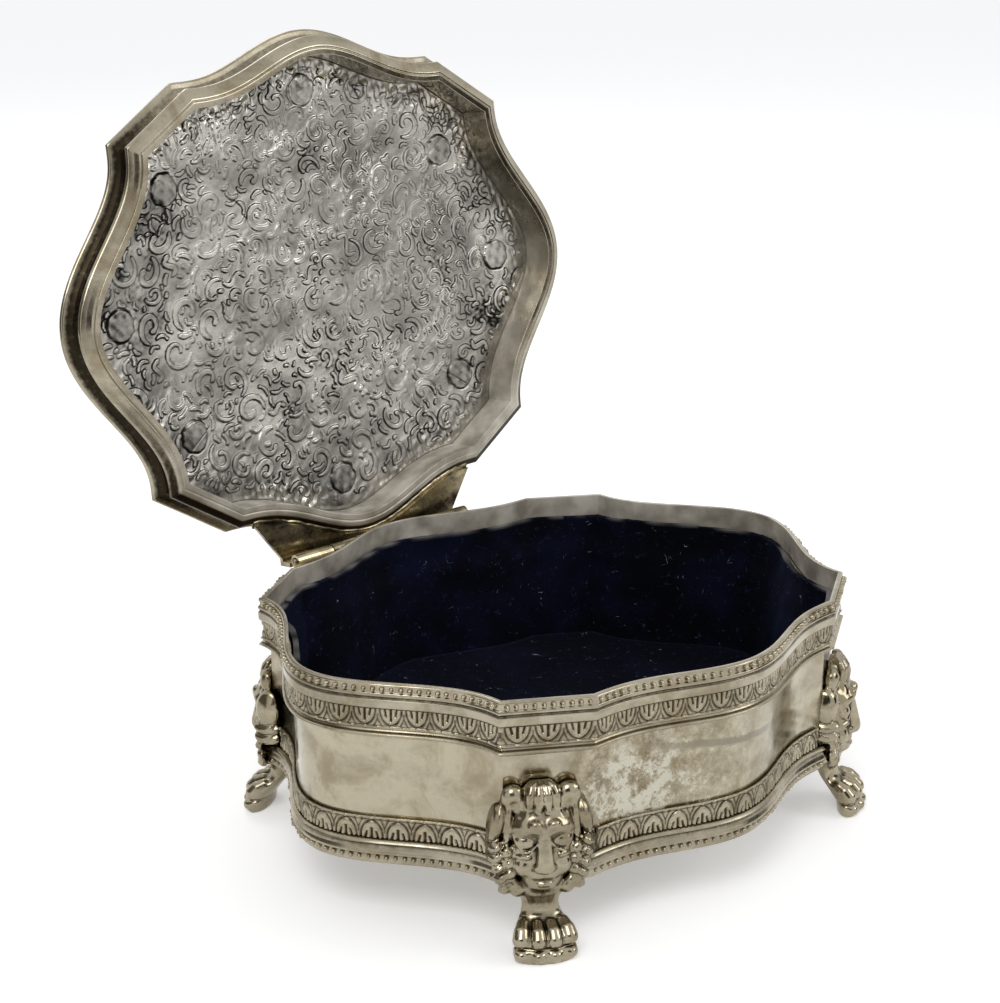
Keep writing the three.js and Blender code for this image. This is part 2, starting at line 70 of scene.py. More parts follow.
FLOOR = level("foot_front_left", 0)
BASE_LOW, LEDGE = level("base_moulding", 0), level("base_moulding", 1)
RIM_FOOT, RIM_TOP = level("rim_frame", 0), level("rim_frame", 1)
RIM_BEAD_Z = (level("rim_bead_wire", 0) + level("rim_bead_wire", 1)) / 2
BASE_BEAD_Z = (level("base_bead_wire", 0) + level("base_bead_wire", 1)) / 2
NECK = level("upper_gallery_strip", 0)

# Ornament
GALLERY_PITCH, ARCH_BAND = 5.3, 4.55
BEAD, BEAD_PITCH = 0.6, 1.85
FOOT_SHIFT = 1.4
SIDE_STRIP_INSET, FRONT_STRIP_INSET = 3.6, 1.6

# Lid, closed: its rim plane, and the turn that opens it
HINGE = frame["joints"][0]
HINGE_Y, HINGE_Z = HINGE["pos_m"][1] / MM, HINGE["pos_m"][2] / MM
OPEN = math.radians(HINGE["range_deg"][1])
LID_GAP = 0.3
LID_Z = RIM_TOP + LID_GAP
LID_DEPTH = 8.1
PANEL_INSET = 2.0

# Lining: how far in it lies, and where it is joined on the right-hand wall
LINING_INSET, PAD_INSET = 1.9, 3.3
RIGHT_JOIN, JOIN_GAP = 26, 0.04

# Lengths between the stations of a piece, and the cell size of the feet
MOULDING_STEP, GALLERY_STEP, LINING_STEP = 0.8, 0.2, 0.7
FOOT_CELL = 0.27

rng = np.random.default_rng(7)


# Meshes

def grid_quads(rows, cols, wrap_rows=False, wrap_cols=False):
    """Quads of a grid of points numbered row by row."""
    r = np.arange(rows if wrap_rows else rows - 1)[:, None]
    c = np.arange(cols if wrap_cols else cols - 1)[None, :]
    r2, c2 = (r + 1) % rows, (c + 1) % cols
    quads = [r * cols + c, r2 * cols + c, r2 * cols + c2, r * cols + c2]
    return np.stack([np.broadcast_to(q, (len(r), c.shape[1])) for q in quads], -1).reshape(-1, 4)


def piece(name, points, faces, body, material, slot, replaces=None, sharp=40, **tones):
    """A mesh object from points in millimetres, riding on a body. Faces are arrays of corner numbers.
    Tones are values for each point that its material reads, such as how hollow and tarnished the place is,
    and where shade or light is painted on."""
    mesh = bpy.data.meshes.new(name)
    faces = [np.asarray(f) for f in faces]
    corners = np.concatenate([f.ravel() for f in faces]).astype(np.int32)
    counts = np.concatenate([np.full(len(f), f.shape[1]) for f in faces]).astype(np.int32)
    mesh.vertices.add(len(points))
    mesh.vertices.foreach_set("co", (np.asarray(points) * MM).astype(np.float32).ravel())
    mesh.loops.add(len(corners))
    mesh.loops.foreach_set("vertex_index", corners)
    mesh.polygons.add(len(counts))
    mesh.polygons.foreach_set("loop_start", np.concatenate([[0], np.cumsum(counts)[:-1]]).astype(np.int32))
    mesh.update(calc_edges=True)
    mesh.validate()
    mesh.polygons.foreach_set("use_smooth", np.ones(len(mesh.polygons), bool))
    mesh.set_sharp_from_angle(angle=math.radians(sharp))
    for tone, values in tones.items():
        layer = mesh.attributes.new(tone, "FLOAT", "POINT")
        layer.data.foreach_set("value", values.astype(np.float32).ravel())
    mesh.materials.append(material)
    made = bpy.data.objects.new(name, mesh)
    bpy.context.scene.collection.objects.link(made)
    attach(made, body)
    if replaces:
        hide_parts(replaces)
    return made


def smoothstep(low, high, x):
    t = np.clip((x - low) / (high - low), 0, 1)
    return t * t * (3 - 2 * t)


def groove(distance, width):
    """1 on a line and fading to 0 at about its width to either side."""
    return np.exp(-(distance / width) ** 2)


def waves(x, y, size, seed, count=9):
    """Smooth unevenness from about -1 to 1, of that size in millimetres."""
    draw = np.random.default_rng(seed)
    total = 0
    for turn, phase, stretch in zip(*draw.uniform(0, 1, (3, count))):
        way = 2 * np.pi * turn
        reach = 2 * np.pi / (size * (0.7 + 0.8 * stretch))
        total = total + np.sin(reach * (x * np.cos(way) + y * np.sin(way)) + 2 * np.pi * phase)
    return total / math.sqrt(count * 2)


def from_line(point, start, end):
    """Distance of points, given axis by axis, from a line between two places, and their share along it."""
    way = np.subtract(end, start)
    off = [p - s for p, s in zip(point, start)]
    along = np.clip(sum(o * w for o, w in zip(off, way)) / (way @ way + 1e-9), 0, 1)
    return np.sqrt(sum((o - along * w) ** 2 for o, w in zip(off, way))), along


# The plan outline

def swell(across, waist):
    return ((1 + np.cos(np.pi * across)) / 2) ** waist


def wall_line(wall, fine=1500):
    """Points of one of the eight walls, counter-clockwise from the right-hand wall's front end."""
    along = np.linspace(-1, 1, fine)
    if wall % 4 == 0:
        line = np.stack([SIDE_X + SIDE_LOBE * swell(along, SIDE_WAIST), SIDE_Y * along], -1)
    elif wall % 4 == 2:
        line = np.stack([-FRONT_X * along, FRONT_Y + FRONT_LOBE * swell(along, FRONT_WAIST)], -1)
    else:
        ends = np.array([[SIDE_X, SIDE_Y], [FRONT_X, FRONT_Y]])
        if wall % 4 == 3:
            ends = ends[::-1] * [-1, 1]
        share = (along[:, None] + 1) / 2
        line = ends[0] * (1 - share) + ends[1] * share
    return line if wall < 4 else -line


def cross(a, b):
    return a[..., 0] * b[..., 1] - a[..., 1] * b[..., 0]


def travelled(line):
    """Length from a line's start to each of its points."""
    return np.concatenate([[0], np.cumsum(np.linalg.norm(np.diff(line, axis=0), axis=1))])


def closed(line):
    """A line with its first point again at its end."""
    return np.concatenate([line, line[:1]])


def read_along(at, travel, line):
    return np.stack([np.interp(at, travel, values) for values in line.T], -1)


class Run:
    """Stations along one wall, or round the whole plan with mitred corners."""

    def __init__(self, step, walls=range(8), inset=0, away=0):
        self.closed = len(walls) == 8
        self.lines = [wall_line(wall) for wall in walls]
        self.normals, self.shares, along, length = [], [], [], []
        for line in self.lines:
            slope = np.gradient(line, axis=0)
            normal = np.stack([slope[:, 1], -slope[:, 0]], -1)
            self.normals.append(normal / np.linalg.norm(normal, axis=1, keepdims=True))
            whole = travelled(line)[-1]
            used = whole - 2 * inset
            count = max(2, round(used / step))
            at = used * np.arange(count + (not self.closed)) / count
            self.shares.append((inset + at) / whole)
            along.append(at)
            length.append(np.full(len(at), used))
        self.along, self.length = np.concatenate(along), np.concatenate(length)
        self.point, self.out = self.row(away)

    def row(self, away):
        """The stations and their ways out, moved outwards from the plan by so much."""
        points, ways = [], []
        for i, (line, normal, share) in enumerate(zip(self.lines, self.normals, self.shares)):
            moved = line + away * normal
            if self.closed:
                first = self.mitre(self.normals[i - 1][-1], normal[0])
                last = self.mitre(normal[-1], self.normals[(i + 1) % 8][0])
                kept = (cross(first, moved - line[0]) > 0) & (cross(last, moved - line[-1]) < 0)
                moved = np.concatenate([[line[0] + away * first], moved[kept], [line[-1] + away * last]])
                normal = np.concatenate([[first], normal[kept], [last]])
            travel = travelled(moved)
            points.append(read_along(share * travel[-1], travel, moved))
            ways.append(read_along(share * travel[-1], travel, normal))
        return np.concatenate(points), np.concatenate(ways)

    @staticmethod
    def mitre(before, after):
        return (before + after) / (1 + before @ after)

    def phase(self, pitch):
        """Place within a repeat, from -1 to 1, with a whole number of repeats on each wall."""
        repeats = np.maximum(1, np.round(self.length / pitch))
        return ((self.along / self.length * repeats) % 1) * 2 - 1


def swept(run, flat, z):
    """Points and faces of a closed section carried along a run. Flat and z hold one for each station."""
    rows, cols = flat.shape[:2]
    points = np.concatenate([flat, np.broadcast_to(z, (rows, cols))[..., None]], -1).reshape(-1, 3)
    faces = [grid_quads(rows, cols, run.closed, True)]
    if not run.closed:
        end = np.arange(cols)[None, :]
        faces += [end[:, ::-1], end + (rows - 1) * cols]
    return points, faces


def set_out(run, out):
    """Stations moved out by different amounts for each point of their sections."""
    return run.point[:, None, :] + run.out[:, None, :] * out[..., None]


def rounded(corners, radius, steps=3):
    """A closed section with its corners eased. It runs counter-clockwise, with out to the right."""
    corners = np.array([tuple(c) + (0,) * (4 - len(c)) for c in corners], float)
    points = []
    for i, here in enumerate(corners):
        sides = [corners[i - 1], corners[(i + 1) % len(corners)]]
        far = [np.linalg.norm((side - here)[:2]) for side in sides]
        start, end = (here + (side - here) * min(radius / d, 0.45) for side, d in zip(sides, far))
        for t in np.linspace(0, 1, steps + 1):
            points.append((1 - t) ** 2 * start + 2 * t * (1 - t) * here + t * t * end)
    return np.array(points)


def opened(points):
    """Points of the closed lid, turned about the hinge to where it stands open."""
    back, up = points[:, 1] - HINGE_Y, points[:, 2] - HINGE_Z
    c, s = math.cos(OPEN), math.sin(OPEN)
    return np.stack([points[:, 0], HINGE_Y + back * c + up * s, HINGE_Z - back * s + up * c], -1)


# Materials

def linear(code):
    """An sRGB hex colour as linear values."""
    shares = [int(code[i:i + 2], 16) / 255 for i in (1, 3, 5)]
    return [s / 12.92 if s <= 0.04045 else ((s + 0.055) / 1.055) ** 2.4 for s in shares] + [1.0]


def put(tree, kind, inputs, out=0, **settings):
    """Adds a node with its settings, and gives one of its outputs, or all of them for None.
    Inputs, by name or number, are values or the outputs that feed them."""
    made = tree.nodes.new("ShaderNode" + kind)
    for name, value in settings.items():
        setattr(made, name, value)
    for name, value in inputs.items():
        if isinstance(value, bpy.types.NodeSocket):
            tree.links.new(value, made.inputs[name])
        else:
            made.inputs[name].default_value = value
    return made.outputs if out is None else made.outputs[out]


def new_material(name):
    """An empty material, and what adds nodes to it."""
    material = bpy.data.materials.new(name)
    material.use_nodes = True
    material.node_tree.nodes.clear()
    return material, functools.partial(put, material.node_tree)


def per_mm(size):
    """A texture's scale for features of that size, since textures are read in metres."""
    return 1 / (size * MM)


def silver_plate(name, bright, dull, dirt_and_shade, stain, rough=0.3, worn=0.5, dents=0.35, film=None):
    """Silver plate rubbed bright on high spots, dulled and stained in patches, dark with tarnish in hollows
    and with painted shade in the coves of the mouldings.
    The eye gets a warm grey mirror that is blurred unevenly, with brown-black lines in the ornament."""
    material, add = new_material(name)
    place = add("TexCoord", {}, "Object")
    rubbed = add("Mapping", {"Vector": place, "Scale": (1.0, 1.0, 2.0)})
    cloud, grain, bloom, waver = (
        add("TexNoise", {"Vector": at, "Scale": per_mm(size), "Detail": detail, "Roughness": broken,
                         "Distortion": drawn})
        for at, size, detail, broken, drawn in ((rubbed, 16, 6.0, 0.62, 0.0), (place, 1.1, 4.0, 0.65, 0.0),
                                                (place, 11, 7.0, 0.66, 0.6), (place, 9, 2.0, 0.5, 0.0)))
    speck = add("MapRange", {"Value": grain, "From Min": 0.35, "From Max": 0.75, "To Min": -0.12,
                             "To Max": 0.2})
    # This share is tarnish in hollows. In the coves of the mouldings it is painted shade laid into the
    # colour.
    hollow = add("Attribute", {}, "Fac", attribute_name="hollow")
    depth = add("Math", {0: hollow, 1: speck}, operation="SUBTRACT")
    patch, spread, tarnish = (
        add("MapRange", {"Value": value, "From Min": low, "From Max": high, "To Max": most},
            interpolation_type="SMOOTHSTEP")
        for value, low, high, most in ((cloud, 0.4, 0.64, worn), (bloom, 0.46, 0.66, 0.6),
                                       (depth, 0.2, 0.95, 1.0)))
    dullness = add("Math", {0: patch, 1: speck}, operation="ADD", use_clamp=True)
    base = linear(bright)
    for share, tone in ((dullness, dull), (spread, stain), (tarnish, dirt_and_shade)):
        base = add("Mix", {0: share, 6: base, 7: linear(tone)}, 2, data_type="RGBA")
    blur = add("MapRange", {"Value": dullness, "To Min": rough - 0.06, "To Max": rough + 0.16})
    blurred = add("Math", {0: tarnish, 1: 0.2, 2: blur}, operation="MULTIPLY_ADD")
    bump = add("Bump", {"Height": waver, "Strength": dents, "Distance": 0.35 * MM})
    pits = add("Bump", {"Height": grain, "Strength": 0.2, "Distance": 0.06 * MM, "Normal": bump})
    metallic = 1.0
    if film:
        base, share = film(add, place, base)
        metallic = add("MapRange", {"Value": share, "To Min": 1.0, "To Max": 0.3})
        blurred = add("Math", {0: share, 1: 0.3, 2: blurred}, operation="MULTIPLY_ADD")
    shader = add("BsdfPrincipled", {"Base Color": base, "Metallic": metallic, "Roughness": blurred,
                                    "Normal": pits})
    add("OutputMaterial", {"Surface": shader}, None)
    return material


def grimy_film_and_painted_light(add, place, plate):
    """A matt grey film on faces that were never polished, which is pale where a mirror would go dark. Its
    pale grime is partly painted light, laid on faces in shade to lift them.
    """
    film = add("Attribute", {}, "Fac", attribute_name="haze")
    cloud = add("TexNoise", {"Vector": place, "Scale": per_mm(7), "Detail": 6.0})
    uneven = add("MapRange", {"Value": cloud, "From Min": 0.35, "From Max": 0.65})
    grime_and_painted_light = add("Mix", {0: uneven, 6: linear("#d9d3c6"), 7: linear("#958d80")}, 2, data_type="RGBA")
    return add("Mix", {0: film, 6: plate, 7: grime_and_painted_light}, 2, data_type="RGBA"), film


def dried_stain(add, place, plate):
    """Pale dried crust over bare brown spots, and one grey wiped streak, which dull the front wall."""
    axes = add("SeparateXYZ", {"Vector": place}, None)
    # Fades over millimetres: onto the front wall, to its left, to its foot, and in and out of the streak
    front, left, low, begun, ended = (
        add("MapRange", {"Value": axes[axis], "From Min": start * MM, "From Max": end * MM, "To Max": most})
        for axis, start, end, most in (("Y", -42, -46, 1.0), ("X", 16, -22, 1.0), ("Z", 26, 18, 1.0),
                                       ("X", -26, -12, 1.0), ("X", 14, 8, 0.8)))
    across = add("Math", {0: left, 1: front}, operation="MULTIPLY")
    reach = add("Math", {0: across, 1: low}, operation="MULTIPLY")
    blotch = add("TexNoise", {"Vector": place, "Scale": per_mm(7), "Detail": 10.0, "Roughness": 0.82})
    spread = add("Math", {0: reach, 1: 0.11, 2: blotch}, operation="MULTIPLY_ADD")
    crust = add("MapRange", {"Value": spread, "From Min": 0.59, "From Max": 0.63, "To Max": 0.9})
    bare = add("MapRange", {"Value": blotch, "From Min": 0.53, "From Max": 0.4, "To Max": 0.8})
    # The streak falls a little to the right, and is about a millimetre wide with ragged edges
    slope = add("Math", {0: axes["X"], 1: 0.11, 2: axes["Z"]}, operation="MULTIPLY_ADD")
    ragged = add("Math", {0: blotch, 1: 3 * MM, 2: slope}, operation="MULTIPLY_ADD")
    off = add("Math", {0: ragged, 1: 20.6 * MM}, operation="SUBTRACT")
    beside = add("Math", {0: off}, operation="ABSOLUTE")
    line = add("MapRange", {"Value": beside, "From Min": 1.0 * MM, "From Max": 0.5 * MM})
    span = add("Math", {0: begun, 1: ended}, operation="MULTIPLY")
    wiped = add("Math", {0: line, 1: span}, operation="MULTIPLY")
    browned, pale, streak = (add("Math", {0: share, 1: within}, operation="MULTIPLY")
                             for share, within in ((bare, across), (crust, across), (wiped, front)))
    for share, tone in ((browned, "#685a42"), (pale, "#d2cebd"), (streak, "#837c6d")):
        plate = add("Mix", {0: share, 6: plate, 7: linear(tone)}, 2, data_type="RGBA")
    return plate, pale


def pile_velvet(name, deep, lit):
    """Cut-pile velvet: almost black navy that takes a faint blue edge light, from its sheen and from painted
    sheen in paler patches and fine hairs, pale where the backing shows at a cut edge, with short curled
    threads of white lint, drawn coarser than real lint so that they show."""
    material, add = new_material(name)
    place = add("TexCoord", {}, "Object")
    # Paler patches of the lit tone are painted sheen.
    nap = add("TexNoise", {"Vector": place, "Scale": per_mm(12), "Detail": 4.0})
    painted_sheen_patches = add("MapRange", {"Value": nap, "From Min": 0.42, "From Max": 0.7})
    cloth = add("Mix", {0: painted_sheen_patches, 6: linear(deep), 7: linear(lit)}, 2, data_type="RGBA")
    # Fine hairs painted paler as a painted sheen where the pile is brushed up, then a few bright threads of
    # lint
    for size, width, low, high, tone in ((1.6, 0.012, 0.53, 0.75, "#323c5e"),
                                         (2.6, 0.005, 0.645, 0.75, "#b4bac6")):
        curl = add("TexNoise", {"Vector": place, "Scale": per_mm(size), "Detail": 1.0})
        thread = add("Math", {0: curl, 1: 0.5, 2: width}, operation="COMPARE")
        speckle = add("TexNoise", {"Vector": place, "Scale": per_mm(1.1 * size), "Detail": 2.0})
        sparse = add("MapRange", {"Value": speckle, "From Min": low, "From Max": high})
        hair_sheen_and_lint = add("Math", {0: thread, 1: sparse}, operation="MULTIPLY")
        cloth = add("Mix", {0: hair_sheen_and_lint, 6: cloth, 7: linear(tone)}, 2, data_type="RGBA")
    cut = add("Attribute", {}, "Fac", attribute_name="cut")
    cloth = add("Mix", {0: cut, 6: cloth, 7: linear("#8d8b86")}, 2, data_type="RGBA")
    tufts = add("TexNoise", {"Vector": place, "Scale": per_mm(0.5), "Detail": 3.0})
    bump = add("Bump", {"Height": tufts, "Strength": 0.5, "Distance": 0.3 * MM})
    shader = add("BsdfPrincipled", {
        "Base Color": cloth, "Roughness": 1.0, "Specular IOR Level": 0.1, "Normal": bump,
        "Sheen Weight": 0.06, "Sheen Roughness": 0.4, "Sheen Tint": linear("#5f72c0")})
    add("OutputMaterial", {"Surface": shader}, None)
    return material


# Tones are bright, dull, dirt and stain. Wall and mouldings are soft mirrors, and the wall is spilt on
WALL = silver_plate("rubbed silver plate with dried stain", "#b2aa95", "#8f8878", "#4a4438", "#85775c",
                    rough=0.2, film=dried_stain)
# On the mouldings the dirt tone also paints shade into the coves, and the grey film also paints light onto
# faces in shade.
PLAIN = silver_plate("rubbed silver plate", "#aaa28f", "#7d7564", "#2c261c", "#7a6c52",
                     rough=0.2, worn=0.6, film=grimy_film_and_painted_light)
# Ornament: strips chased by hand look matt with dark lines, and cast feet shine on every high spot
CHASED = silver_plate("chased silver plate with tarnished hollows", "#aba28d", "#827964", "#3a3224",
                      "#7f7157")
CAST = silver_plate("cast and plated lion feet", "#a39a85", "#766d59", "#272117", "#7a6d54", rough=0.2)
# The stamped sheet is greyer and patchier than the rest, and the hinge is nearly black where it was soldered
STAMPED = silver_plate("stamped sheet with grey tarnish", "#c4c0b8", "#8b8882", "#1f1d1b", "#6d6a64",
                       worn=0.8, dents=0.06)
HINGE_METAL = silver_plate("darkened hinge metal", "#b3a78a", "#2b251b", "#1b150d", "#5a4d30",
                           rough=0.22, worn=1.0)
# The floor pad's velvet is a copy painted darker than the walls', as painted shade, since the floor takes
# more light from above
VELVET = pile_velvet("navy cut-pile velvet", "#04050c", "#0b0f24")
PAD_VELVET_PAINTED_DARKER = pile_velvet("navy cut-pile velvet painted darker", "#020308", "#070a18")


# Box walls and mouldings. A section's rows are distance out, height, and where needed hollowness (tarnish,
# and painted shade in the coves) and haze (a matt film that is partly painted light).

def ring(name, node, section, material, radius=0.2, body="box", turn=None, aged=None):
    """A closed moulding carried round the plan in place of a node. Aged changes its tones by place."""
    run = Run(MOULDING_STEP)
    section = rounded(section, radius)
    flat = np.stack([run.row(out)[0] for out in section[:, 0]], 1)
    points, faces = swept(run, flat, section[:, 1])
    hollow, haze = (np.tile(section[:, column], len(run.point)) for column in (2, 3))
    if aged:
        hollow, haze = aged(points, hollow, haze)
    points = turn(points) if turn else points
    piece(name, points, faces, body, material, "plate", node, hollow=hollow, haze=haze)


def walls_and_mouldings():
    wall_top, wall_foot = level("body_wall", 1), level("body_wall", 0)
    ring("wall_band", "body_wall", [
        (-1.6, wall_foot), (-0.6, wall_foot), (-0.6, NECK - 0.9), (0.4, NECK - 0.5), (0.4, wall_top),
        (-0.6, wall_top), (-0.6, NECK - 0.2), (-1.6, NECK - 0.6)], WALL)
    # The cove's hollowness, from 0.3 to 0.7 up its upper part, is painted shade: the dark reflection of the
    # shaded floor by the box, laid into the colour.
    ring("base_flare", "base_moulding", [
        (-0.4, BASE_LOW), (0.1, BASE_LOW), (0.25, BASE_LOW + 0.3), (0.25, -0.45, 0.3), (0.7, -0.25),
        (0.9, 0.0), (0.8, 0.4, 0.1), (0.45, 1.0, 0.3), (0.32, 1.6, 0.6), (0.5, 2.0, 0.7), (0.9, 2.25),
        (0.85, 2.4), (0.3, LEDGE), (-0.4, LEDGE)], PLAIN, radius=0.25)
    seam = RIM_TOP - 2.85
    # The inner face's haze, 1 at its foot and 0.85 at its top, is a pale matt film that is partly painted
    # light, lifting metal that sits in shade.
    ring("rim_moulding", "rim_frame", [
        (0, RIM_TOP, 0, 0.85), (0, RIM_FOOT, 0, 1), (1.3, RIM_FOOT), (1.5, RIM_FOOT + 0.3),
        (1.55, seam - 0.4), (1.45, seam - 0.28, 0.3), (1.25, seam - 0.2, 0.7), (1.25, seam + 0.1, 0.7),
        (1.45, seam + 0.3, 0.2), (1.6, seam + 0.5), (1.45, RIM_BEAD_Z - 0.75), (1.15, RIM_BEAD_Z - 0.6, 0.3),
        (1.1, RIM_BEAD_Z + 0.45, 0.3), (1.05, RIM_TOP - 0.3), (0.7, RIM_TOP)], PLAIN, radius=0.14)


def bead_wire(name, node, seat, z):
    """A row of beads half sunk in a plain band, worn to different heights."""
    thin = 0.14
    run = Run(BEAD_PITCH / 14)
    x = run.phase(BEAD_PITCH) * BEAD_PITCH / 2
    bead = BEAD * (0.9 + 0.16 * waves(*run.point.T, 5, 3))
    size = np.maximum(thin, np.sqrt(np.clip(bead ** 2 - x ** 2, 0, None)))
    turn = np.linspace(0, 2 * np.pi, 12, endpoint=False)
    out = (seat - 0.3 + 1.45 * (size - thin))[:, None] + size[:, None] * np.cos(turn)
    points, faces = swept(run, set_out(run, out), z + size[:, None] * np.sin(turn))
    hollow = np.repeat(0.75 * (1 - size / BEAD), len(turn))
    piece(name, points, faces, "box", CHASED, "plate", node, sharp=180, hollow=hollow)


# Gallery strips

def arch_relief(across, up, slot_top):
    """Height of a band of leaf arches, from 0 in its cut lines to 1, with dots that stand a little higher.
    Across is from -1 to 1 in a repeat; up is in millimetres from the foot of the arches."""
    x = np.abs(across) * GALLERY_PITCH / 2
    gap = GALLERY_PITCH / 2 - x
    tall, wide = 3.75, 2.2
    dot_up, dot_size = 4.2, 0.36
    edge = wide * np.clip(1 - np.clip(up / tall, 0, 1) ** 2.3, 0, 1) ** 0.62
    steep = np.sqrt(1 + np.clip(np.gradient(edge, axis=1) / np.gradient(up, axis=1), -4, 4) ** 2)
    inside = np.where(up < tall, (edge - x) / steep, tall - up)
    height = 0.72 + 0.28 * smoothstep(-0.05, 0.3, inside)
    cut = 0.9 * groove(inside, 0.24)
    cut = np.maximum(cut, smoothstep(0.42, 0.08, from_line((x, up), (0, 0.1), (0, slot_top))[0]))
    side_slot = from_line((x, up), (1.25, 0), (0.95, slot_top * 0.62))[0]
    cut = np.maximum(cut, smoothstep(0.36, 0.06, side_slot))
    cut = np.maximum(cut, 0.5 * groove(inside - 0.55, 0.1) * smoothstep(0.8, 1.6, up))
    vein = np.minimum(*(from_line((gap, up), (0, low), (side, high))[0]
                        for low, side, high in ((2.1, 0.8, 4.0), (1.2, 0, 2.3))))
    cut = np.maximum(cut, (inside < -0.1) * 0.85 * groove(vein, 0.17))
    height = height * (1 - cut)
    for centre in (0, GALLERY_PITCH / 2):
        dot = np.clip(1 - ((x - centre) ** 2 + (up - dot_up) ** 2) / dot_size ** 2, 0, 1)
        height = np.maximum(height, 1.25 * np.sqrt(dot))
    return height


def gallery(name, node, run, back, face, lift, slot_top, fillet=0, fillet_out=0):
    """A strip of leaf arches: standing ones, or hanging ones over a half-round fillet with a dark groove."""
    low, high = level(node, 0), level(node, 1)
    up = np.linspace(low + fillet, high, 34)
    read = (up - up[0] if not fillet else up[-1] - up) * ARCH_BAND / (up[-1] - up[0])
    rows = len(run.point)
    height = arch_relief(run.phase(GALLERY_PITCH)[:, None], np.broadcast_to(read, (rows, len(up))), slot_top)
    rubbed = waves(run.point.sum(1)[:, None], read * 1.5, 3.5, 6)
    height = height * (0.86 + 0.12 * waves(*run.point.T, 15, 5)[:, None] + 0.16 * rubbed)
    out, z, hollow = [face + lift * height], [up], [0.92 - 0.95 * height]
    if fillet:
        curve = np.linspace(-np.pi / 2, np.pi / 2, 7)
        roll = 0.55 * fillet
        out.insert(0, np.tile(face + (fillet_out - face) * np.cos(curve), (rows, 1)))
        z.insert(0, low + roll / 2 * (1 + np.sin(curve)))
        hollow.insert(0, np.zeros((rows, 7)))
        for share in (0.25, 0.75):
            out.insert(-1, np.full((rows, 1), face - 0.1))
            z.insert(-1, [low + roll + share * (fillet - roll)])
            hollow.insert(-1, np.ones((rows, 1)))
    ends = np.full((rows, 1), back)
    out = np.concatenate([ends] + out + [ends], 1)
    z = np.concatenate([[low]] + z + [[high]])
    hollow = np.concatenate([ends * 0] + hollow + [ends * 0], 1)
    points, faces = swept(run, set_out(run, out), z)
    piece(name, points, faces, "box", CHASED, "plate_dark", node, sharp=180, hollow=hollow)


def galleries():
    gallery("upper_gallery", "upper_gallery_strip", Run(GALLERY_STEP), back=0.6, face=0.65, lift=0.5,
            slot_top=2.6, fillet=1.5, fillet_out=1.6)
    for side, wall, inset in (("right", 0, SIDE_STRIP_INSET), ("back", 2, FRONT_STRIP_INSET),
                              ("left", 4, SIDE_STRIP_INSET), ("front", 6, FRONT_STRIP_INSET)):
        run = Run(GALLERY_STEP, [wall], inset)
        gallery("leaf_strip_" + side, "lower_gallery_" + side, run, back=-0.4, face=-0.3, lift=0.5,
                slot_top=1.9)


# Lion-mask feet: a field of distances in one foot's own axes, across, out from the cant and up from the floor

